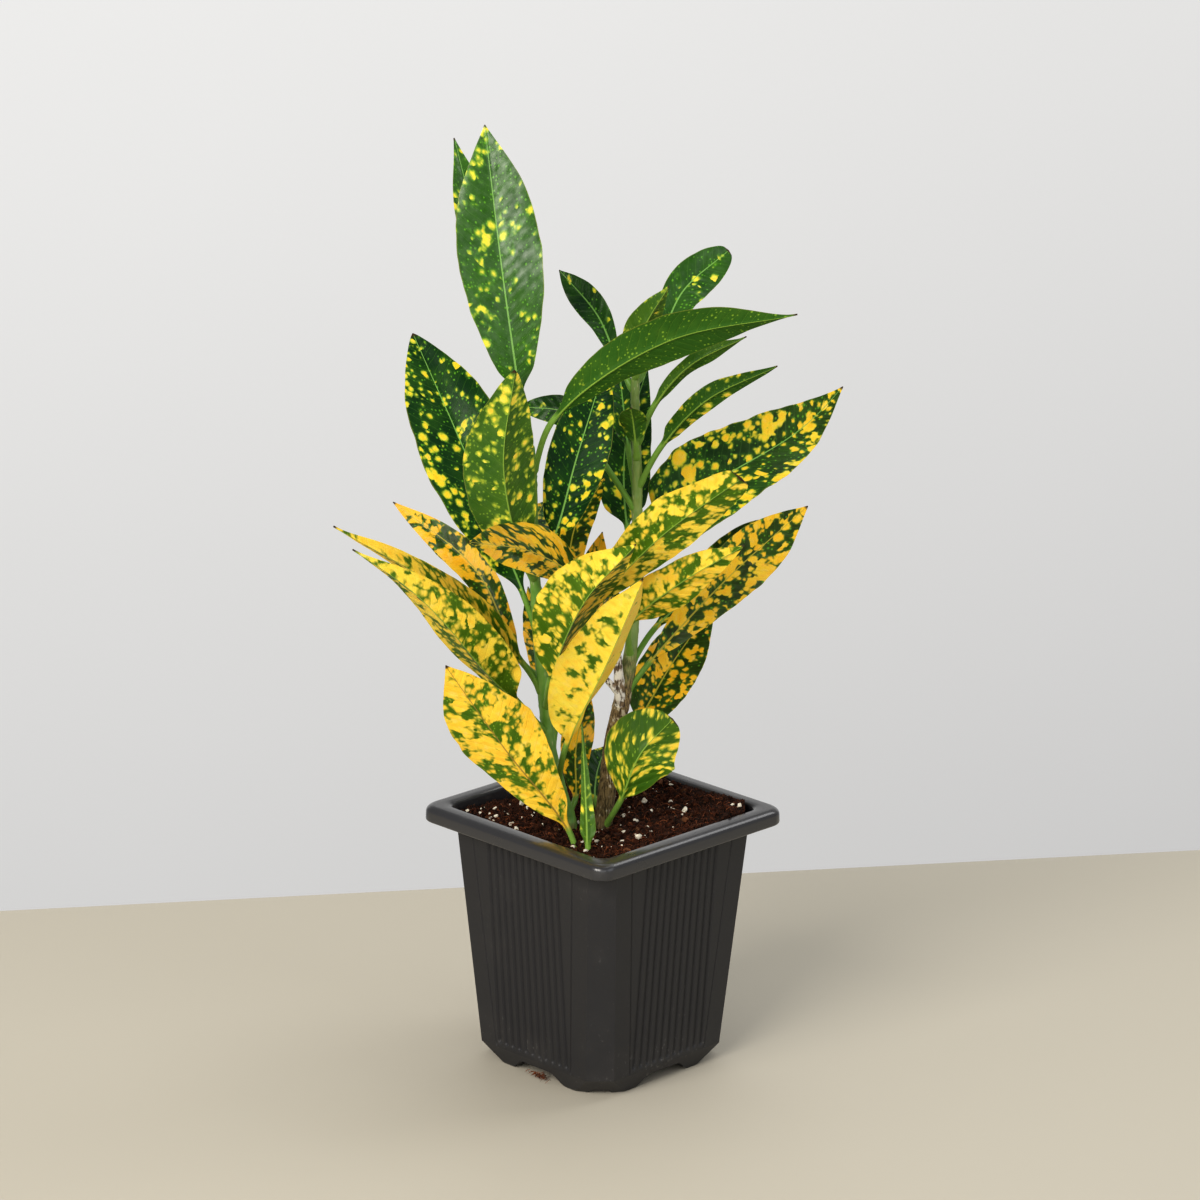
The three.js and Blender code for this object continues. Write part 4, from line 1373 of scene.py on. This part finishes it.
    def place(self, row: Row, quarter: int, zone: Zone, at: float, fluted: bool) -> Vector:
        """Returns one corner of the shell's mesh.

        Args:
            row: Height, half size, corner cut and roundness.
            quarter: Which side or corner, counted round.
            zone: Where on it.
            at: The share round a corner, or the place along a side.
            fluted: Whether the flutes show on this row.

        Returns:
            The place, before the pot is turned corner to the front.
        """
        z, half, cut, roundness = row
        straight = half - cut
        squeeze = min(1.0, straight / self.flutes_room)
        on_corner = zone is Zone.CORNER
        if on_corner:
            turn = math.pi / 2 * at
            x = lerp(1 - at, math.cos(turn), roundness)
            y = lerp(at, math.sin(turn), roundness)
            offset = straight + self.corner_length * (1 - abs(at * 2 - 1))
            flat = Vector((straight + cut * x, straight + cut * y))
        else:
            from_middle = {Zone.START: straight, Zone.MIDDLE: 0.0, Zone.END: -straight}[zone]
            offset = from_middle + at * squeeze * (1 if zone is Zone.END else -1)
            flat = Vector((offset, half))
        if z < self.floor_low:
            lifted = max(z, self.arch(offset, straight))
            if lifted > z:
                grown = self.outer_half(lifted) - half if half > self.foot_middle else 0.0
                flat += (flat / half) * grown if on_corner else Vector((0, grown))
                z = lifted
        elif fluted and not on_corner:
            flat.y -= self.flute(offset, straight, z)
        spin = Matrix.Rotation(math.radians(90 * quarter), 2)
        return (spin @ flat).to_3d() + Vector((0, 0, z))

    def shell(self) -> bmesh.types.BMesh:
        """Returns the pot's wall, foot and rim, open at the two faces of its floor."""
        rows = self.rows()
        columns = [(Zone.CORNER, step / self.corner_steps) for step in range(self.corner_steps + 1)]
        columns += self.offsets()

        def put(column: int, row: int) -> Vector:
            """Returns one corner of the shell."""
            quarter, index = divmod(column, len(columns))
            zone, at = columns[index]
            return self.place(rows[row], quarter, zone, at, row in self.WALL_ROWS)

        bm = bmesh.new()
        roll_up(bm, len(columns) * 4, len(rows) - 1, put)
        bmesh.ops.remove_doubles(bm, verts=bm.verts, dist=SEAM_GAP)
        return bm

    def add_floor(self, bm: bmesh.types.BMesh) -> None:
        """Closes the shell with a floor that has a drain hole towards each side."""
        rings = [edge for edge in bm.edges if edge.is_boundary]
        walls = []
        for height in (self.floor_low, self.floor_high):
            ring = [edge for edge in rings if abs(edge.verts[0].co.z - height) < 0.2]
            circles = []
            for quarter in range(4):
                turn = Matrix.Rotation(math.radians(90 * quarter), 4, "Z")
                place = turn @ Matrix.Translation((self.drain_reach, 0, height))
                hole = bmesh.ops.create_circle(
                    bm, segments=24, radius=self.drain_radius, matrix=place
                )
                circles.append(list({edge for vert in hole["verts"] for edge in vert.link_edges}))
            edges = ring + [edge for circle in circles for edge in circle]
            bmesh.ops.triangle_fill(bm, use_beauty=True, edges=edges)
            walls.append(circles)
        for low, high in zip(*walls):
            bmesh.ops.bridge_loops(bm, edges=low + high)

    def build(self) -> None:
        """Makes the pot."""
        bm = self.shell()
        self.add_floor(bm)
        bmesh.ops.recalc_face_normals(bm, faces=bm.faces)
        bmesh.ops.transform(bm, matrix=TURN, verts=bm.verts)
        publish("nursery_pot", bm, [self.finish.build()], "pot", 32.0)


@dataclass
class Soil:
    """The peat in the pot, with its crumbs, perlite grains, bark bits and root fibres."""

    finish: EarthFinish
    level: float = 104.0
    half: float = 45.2
    cut: float = 6.4
    foot: float = 7.9
    foot_half: float = 36.6
    mound: float = 1.5
    relief: float = 0.9
    heap: float = 2.6
    corner_heap: float = 1.6
    side_heap: float = 1.8
    cells: int = 190

    def height(self, x: float, y: float) -> float:
        """Returns the height of the soil at a place, with its clods and grains."""
        waves = math.sin(0.31 * x + 0.17 * y) + math.sin(0.13 * x - 0.41 * y + 1)
        base = self.level + self.mound * (x + y) / 46 / 2 + self.relief * waves / 2
        heap = self.heap * (0.7 + 0.3 * smoothstep(x, -20, 30) + smoothstep(x + y * 0.6, 5, 60))
        heap += self.corner_heap * smoothstep(abs(x) + abs(y), 38, 62)
        heap += self.side_heap * smoothstep(abs(x), 38, 58)
        place = Vector((x, y, 3.0))
        clods = noise.noise(place * 0.16) * 0.9 + abs(noise.noise(place * 0.42)) * 1.2
        grains = noise.fractal(place * 0.8, 0.5, 2.1, 4) * 0.8
        return base + heap + clods + grains - 0.8

    def block(self) -> None:
        """Makes the body of the soil."""
        bm = lattice(self.cells, self.cells)
        bmesh.ops.translate(bm, verts=bm.verts, vec=(-0.5, -0.5, 0))
        bmesh.ops.scale(bm, verts=bm.verts, vec=(2 * self.half, 2 * self.half, 1))
        reach = (2 * self.half - self.cut) / math.sqrt(2)
        for quarter in range(4):
            turn = math.radians(45 + 90 * quarter)
            away = Vector((math.cos(turn), math.sin(turn), 0))
            geom = bm.verts[:] + bm.edges[:] + bm.faces[:]
            bmesh.ops.bisect_plane(
                bm, geom=geom, plane_co=away * reach, plane_no=away, clear_outer=True
            )
        bmesh.ops.transform(bm, matrix=TURN, verts=bm.verts)
        for vert in bm.verts:
            vert.co.z = self.height(vert.co.x, vert.co.y)
        rim = [edge for edge in bm.edges if edge.is_boundary]
        skirt = bmesh.ops.extrude_edge_only(bm, edges=rim)["geom"]
        share = self.foot_half / self.half
        for vert in skirt:
            if isinstance(vert, bmesh.types.BMVert):
                vert.co = (vert.co.x * share, vert.co.y * share, self.foot)
        publish("soil_body", close(bm), [self.finish.build()], "soil", 50.0)

    def spot(self, draw: random.Random, margin: float) -> Vector:
        """Returns a random place on the soil, kept from the pot's wall by a margin."""
        reach = self.half - margin
        while True:
            x, y = draw.uniform(-reach, reach), draw.uniform(-reach, reach)
            if abs(x) + abs(y) < 2 * reach - self.cut:
                turned = TURN @ Vector((x, y, 0))
                return Vector((turned.x, turned.y, self.height(turned.x, turned.y)))

    def grains(
        self, name: str, count: int, sizes: Pair, detail: int, finish: EarthFinish, sink: float
    ) -> None:
        """Makes loose grains that lie on the soil.

        Args:
            name: The piece's name.
            count: How many.
            sizes: Smallest and largest radius.
            detail: The subdivisions of each.
            finish: Their material.
            sink: How deep they lie, as a share of the radius.
        """
        draw = random.Random(name)
        bm = bmesh.new()
        for _ in range(count):
            size = lerp(*sizes, draw.random() ** 2.2)
            place = self.spot(draw, size + 0.4) + Vector((0, 0, size * (0.6 - sink)))
            turn = draw.uniform(0, math.tau)
            tilt = Matrix.Rotation(turn, 4, (draw.random(), draw.random(), 0.3))
            form = Matrix.Diagonal((1, draw.uniform(0.6, 1), draw.uniform(0.45, 0.9), 1))
            matrix = Matrix.Translation(place) @ tilt @ form
            made = bmesh.ops.create_icosphere(bm, subdivisions=detail, radius=size, matrix=matrix)
            for vert in made["verts"]:
                vert.co += (vert.co - place) * noise.noise(vert.co * (1.1 / size)) * 0.7
        publish(name, bm, [finish.build()], crease=50.0)

    def fibres(self, name: str, count: int, finish: EarthFinish) -> None:
        """Makes the fine roots and peat fibres that stick out of the soil."""
        draw = random.Random(name)
        bm = bmesh.new()
        for _ in range(count):
            add_fibre(bm, draw, self.spot(draw, 4.0), (1.5, 5.5), (0.07, 0.2), (0.1, 1.6))
        publish(name, close(bm), [finish.build()], crease=70.0)

    def stray_roots(self, name: str, count: int, finish: EarthFinish) -> None:
        """Makes the bits of root that lie in the arch of the left front side."""
        draw = random.Random(name)
        bm = bmesh.new()
        for _ in range(count):
            aside = draw.gauss(0, 1.9)
            middle = Vector((-25.4 + aside, -27.4 - aside, 0.5 + draw.uniform(0, 1.4)))
            middle += Vector((1, 1, 0)) * draw.uniform(-0.6, 1.2)
            add_fibre(bm, draw, middle, (1.5, 4.5), (0.1, 0.3), (0, 1))
        publish(name, close(bm), [finish.build()], crease=70.0)


def add_fibre(
    bm: bmesh.types.BMesh,
    draw: random.Random,
    middle: Vector,
    lengths: Pair,
    radii: Pair,
    rises: Pair,
) -> None:
    """Adds one thin curved fibre that rises in its middle.

    Args:
        bm: The mesh that it goes into.
        draw: The source of its chances.
        middle: The place under its middle.
        lengths: The shortest and the longest that it may be.
        radii: The thinnest and the thickest.
        rises: The least and the most that its middle may stand up.
    """
    turn = draw.uniform(0, math.tau)
    length, radius, rise = (draw.uniform(*limits) for limits in (lengths, radii, rises))
    along = Vector((math.cos(turn), math.sin(turn), draw.uniform(-0.25, 0.35)))
    aside = Vector((-math.sin(turn), math.cos(turn), 0))
    bend = draw.uniform(-0.3, 0.3) * length
    columns, rows = 3, 6

    def put(column: int, row: int) -> Vector:
        """Returns one corner of the fibre."""
        share = row / rows - 0.5
        arch = 1 - 4 * share * share
        angle = math.tau * column / columns
        thick = radius * (1 - abs(2 * share) ** 3)
        ring = aside * math.cos(angle) + Vector((0, 0, math.sin(angle)))
        centre = middle + along * (share * length) + aside * (bend * arch)
        return centre + Vector((0, 0, rise * arch - 0.3 * (1 - arch))) + ring * thick

    roll_up(bm, columns, rows, put)


# Studio


@dataclass
class Studio:
    """The table top, the world, the lamps and the camera."""

    floor: StageFinish
    wall: StageFinish
    sky: str = "e8e8e6"
    sky_strength: float = 0.38
    lens: float = 162.0
    distance: float = 2230.0
    elevation: float = 17.3
    roll: float = 0.56
    aim: Point = (-2.0, 0.0, 202.0)
    back_left: Pair = (-272.6, 165.5)
    back_right: Pair = (281.4, 262.3)
    table_size: float = 3200.0
    wall_size: float = 5000.0
    wall_place: float = 3200.0
    wall_top: float = 1500.0
    lamp_target: float = 200.0

    def world(self) -> None:
        """Sets the plain pale surroundings."""
        world = bpy.data.worlds.new("plain surroundings")
        world.use_nodes = True
        background = world.node_tree.nodes["Background"]
        background.inputs["Color"].default_value = colour(self.sky)
        background.inputs["Strength"].default_value = self.sky_strength
        bpy.context.scene.world = world

    def board(self, name: str, placing: Matrix, size: float, finish: StageFinish) -> None:
        """Makes a flat square board of the studio.

        Args:
            name: Its name.
            placing: Where it goes, in millimetres about the pot's axis.
            size: The length of its sides.
            finish: Its surface.
        """
        bm = lattice(24, 24)
        bmesh.ops.translate(bm, verts=bm.verts, vec=(-0.5, -1.0, 0))
        bmesh.ops.scale(bm, verts=bm.verts, vec=(size, size, 1))
        to_frame = Matrix.Translation(AXIS) @ Matrix.Scale(MM, 4) @ placing
        bmesh.ops.transform(bm, matrix=to_frame, verts=bm.verts)
        mesh = bpy.data.meshes.new(name)
        bm.to_mesh(mesh)
        bm.free()
        mesh.materials.append(finish.build())
        board = bpy.data.objects.new(name, mesh)
        bpy.context.scene.collection.objects.link(board)

    def table(self) -> None:
        """Makes the table top, whose far edge crosses the picture."""
        left, right = Vector(self.back_left), Vector(self.back_right)
        along = (right - left).normalized()
        middle = (left + right) / 2
        turn = Matrix.Rotation(math.atan2(along.y, along.x), 4, "Z")
        place = Matrix.Translation((*middle, 0))
        self.board("table_top", place @ turn, self.table_size, self.floor)

    def backdrop(self) -> None:
        """Makes the pale wall far behind the table."""
        upright = Matrix.Rotation(math.radians(90), 4, "X")
        place = Matrix.Translation((0, self.wall_place, self.wall_top))
        self.board("far_wall", place @ upright, self.wall_size, self.wall)

    def lamp(
        self, name: str, place: Point, size: float, power: float, tint: str = "ffffff"
    ) -> None:
        """Adds a soft square lamp that faces the plant, its place in millimetres."""
        light = bpy.data.lights.new(name, "AREA")
        light.size = size
        light.energy = power
        light.color = colour(tint)[:3]
        lamp = bpy.data.objects.new(name, light)
        spot = Vector(place) * MM + AXIS
        target = Vector((0, 0, self.lamp_target * MM)) + AXIS
        lamp.location = spot
        lamp.rotation_euler = (target - spot).to_track_quat("-Z", "Y").to_euler()
        bpy.context.scene.collection.objects.link(lamp)

    def camera(self) -> None:
        """Makes the camera and looks through it."""
        data = bpy.data.cameras.new("camera")
        data.sensor_width = 36
        data.lens = self.lens
        data.clip_end = 50
        tilt, roll = math.radians(self.elevation), math.radians(self.roll)
        back = Vector((0, -math.cos(tilt), math.sin(tilt)))
        right = Vector((1, 0, 0))
        up = back.cross(right)
        turned_right = right * math.cos(roll) + up * math.sin(roll)
        turned_up = up * math.cos(roll) - right * math.sin(roll)
        camera = bpy.data.objects.new("camera", data)
        camera.matrix_world = Matrix((turned_right, turned_up, back)).transposed().to_4x4()
        camera.location = AXIS + (Vector(self.aim) + back * self.distance) * MM
        bpy.context.scene.collection.objects.link(camera)
        bpy.context.scene.camera = camera

    def build(self) -> None:
        """Sets the whole studio up."""
        self.world()
        self.table()
        self.backdrop()
        self.lamp("key lamp", (-1000, -1500, 1150), 1.25, 41.0, "fffaf2")
        self.lamp("front lamp", (100, -2100, 500), 1.6, 9.0)
        self.lamp("side lamp", (1100, 450, 1150), 0.6, 3.6)
        self.lamp("fill lamp", (1300, -900, 700), 1.2, 5.0, "f4f8ff")
        self.lamp("top lamp", (200, 500, 1700), 1.4, 8.0)
        self.camera()
        view = bpy.context.scene.view_settings
        view.view_transform = "Standard"
        view.look = "Medium High Contrast"


# The plant


UPPER = LeafFinish(
    name="leaf upper face",
    green="0f3312",
    light_green="62a02a",
    lemon="f0ce34",
    amber="f0a818",
    rib="7fae58",
    warm_rib="b4a83c",
    petiole="6c943e",
    margin="b4b446",
    olive="26360a",
    blur=0.3,
    roughness=0.46,
    coat=0.04,
    vein_strength=0.12,
)
LOWER = LeafFinish(
    name="leaf lower face",
    green="32581c",
    light_green="84a436",
    lemon="f2d04c",
    amber="f0b02c",
    rib="86a444",
    warm_rib="8c5430",
    petiole="789c46",
    margin="a8a040",
    olive="40600e",
    blur=0.65,
    roughness=0.52,
    coat=0.0,
    vein_strength=0.1,
)
GREEN_STEM = StemFinish(
    name="green stem",
    skin="5f8c3c",
    streak="86a04e",
    bark="7d644b",
    crack="3c2d20",
    flake="c3b298",
    bark_top=104.0,
)
WOODY_STEM = StemFinish(
    name="woody stem",
    skin="6f8a46",
    streak="8f9a58",
    bark="957d55",
    crack="382a17",
    flake="d2c6ac",
    bark_top=172.0,
    fade=14.0,
)
TWIG_END = StemFinish(
    name="broken twig",
    skin="8a7458",
    streak="a8977c",
    bark="8a7458",
    crack="3c2f24",
    flake="ece6da",
    bark_top=400.0,
    flaking=0.16,
)
PEAT = EarthFinish("peat", "0c0603", "2a140a", "5a321c", 260.0)
CRUMB = EarthFinish("peat crumbs", "110804", "361a0e", "663a20", 420.0)
PERLITE = EarthFinish("perlite", "c8c0ac", "e6dfce", "faf6ec", 500.0, 0.75, 0.0004)
BARK_BIT = EarthFinish("bark bits", "3c2416", "5e3a24", "96704a", 380.0, 0.8)
FIBRE = EarthFinish("root fibres", "3f2014", "6b3a22", "9c6238", 380.0, 0.7, 0.0002)
PLASTIC = PlasticFinish("charcoal plastic", "202023", "8c8a86", "48443f", 105.0)
TABLE = StageFinish("table top", "b9b3a5")
# The far wall carries a painted glow of light besides its pale tint.
WALL = StageFinish("far wall", "d8d8d8", 0.42)

STEM_ROUTES = {
    Root.LEFT: [(-12, -9, 76), (-13, -10, 103), (-18, -11, 123), (-22, -12, 140), (-24, -12, 158),
                (-27, -13, 189), (-29, -14, 223), (-30, -14, 257), (-31, -12, 272)],
    Root.RIGHT: [(0, -7, 76), (0, -5, 102), (2, -3, 122), (4, 0, 140), (8, 3, 160), (11, 6, 179),
                 (13, 11, 216), (12.8, 13, 250), (11.6, 15, 284), (11.6, 16, 298)],
}


def build_plant() -> None:
    """Makes the stems, the leaves and the small things on the stems."""
    left, right = STEM_ROUTES[Root.LEFT], STEM_ROUTES[Root.RIGHT]
    stems = {
        Root.LEFT: Stem("stem_left", left, (3.3, 1.7), 108.0, 0.0, GREEN_STEM),
        Root.RIGHT: Stem(
            "stem_right", right, (3.4, 1.6), 176.0, 1.0, WOODY_STEM, bark_thickness=0.75
        ),
    }
    sheet = LeafSheet()
    blank = sheet.build()
    finishes = [UPPER.build(), LOWER.build()]
    for leaf in LEAVES:
        leaf.lay(stems)
        leaf.build(sheet, blank, finishes)
    blank.free()
    for stem in stems.values():
        stem.build()
    Stub("broken_shoot", (7, 1, 156), (5.5, -1, 178), (2.6, 1.7), TWIG_END).build()
    Stub("broken_twig", (6, 0, 162), (0.5, -1.5, 168.5), (1.7, 1.2), TWIG_END).build()
    Bud("left_bud", (-31, -12, 270), (-32, -10, 281), 1.7, finishes[0]).build()
    Bud("right_bud", (13, 16, 296), (15, 17, 307), 1.5, finishes[0]).build()


def build_pot() -> None:
    """Makes the pot and what fills it."""
    Pot(PLASTIC).build()
    soil = Soil(PEAT)
    soil.block()
    soil.grains("soil_crumbs", 2100, (0.35, 1.9), 1, CRUMB, 0.4)
    soil.grains("perlite_grains", 220, (0.25, 1.5), 2, PERLITE, 0.15)
    soil.grains("bark_bits", 80, (0.6, 2.1), 1, BARK_BIT, 0.4)
    soil.fibres("root_fibres", 1100, FIBRE)
    soil.stray_roots("stray_roots", 34, FIBRE)


def main() -> None:
    """Builds everything in order."""
    logging.basicConfig(level=logging.INFO, format="%(message)s")
    Studio(TABLE, WALL).build()
    build_pot()
    build_plant()


if __name__ == "__main__":
    main()
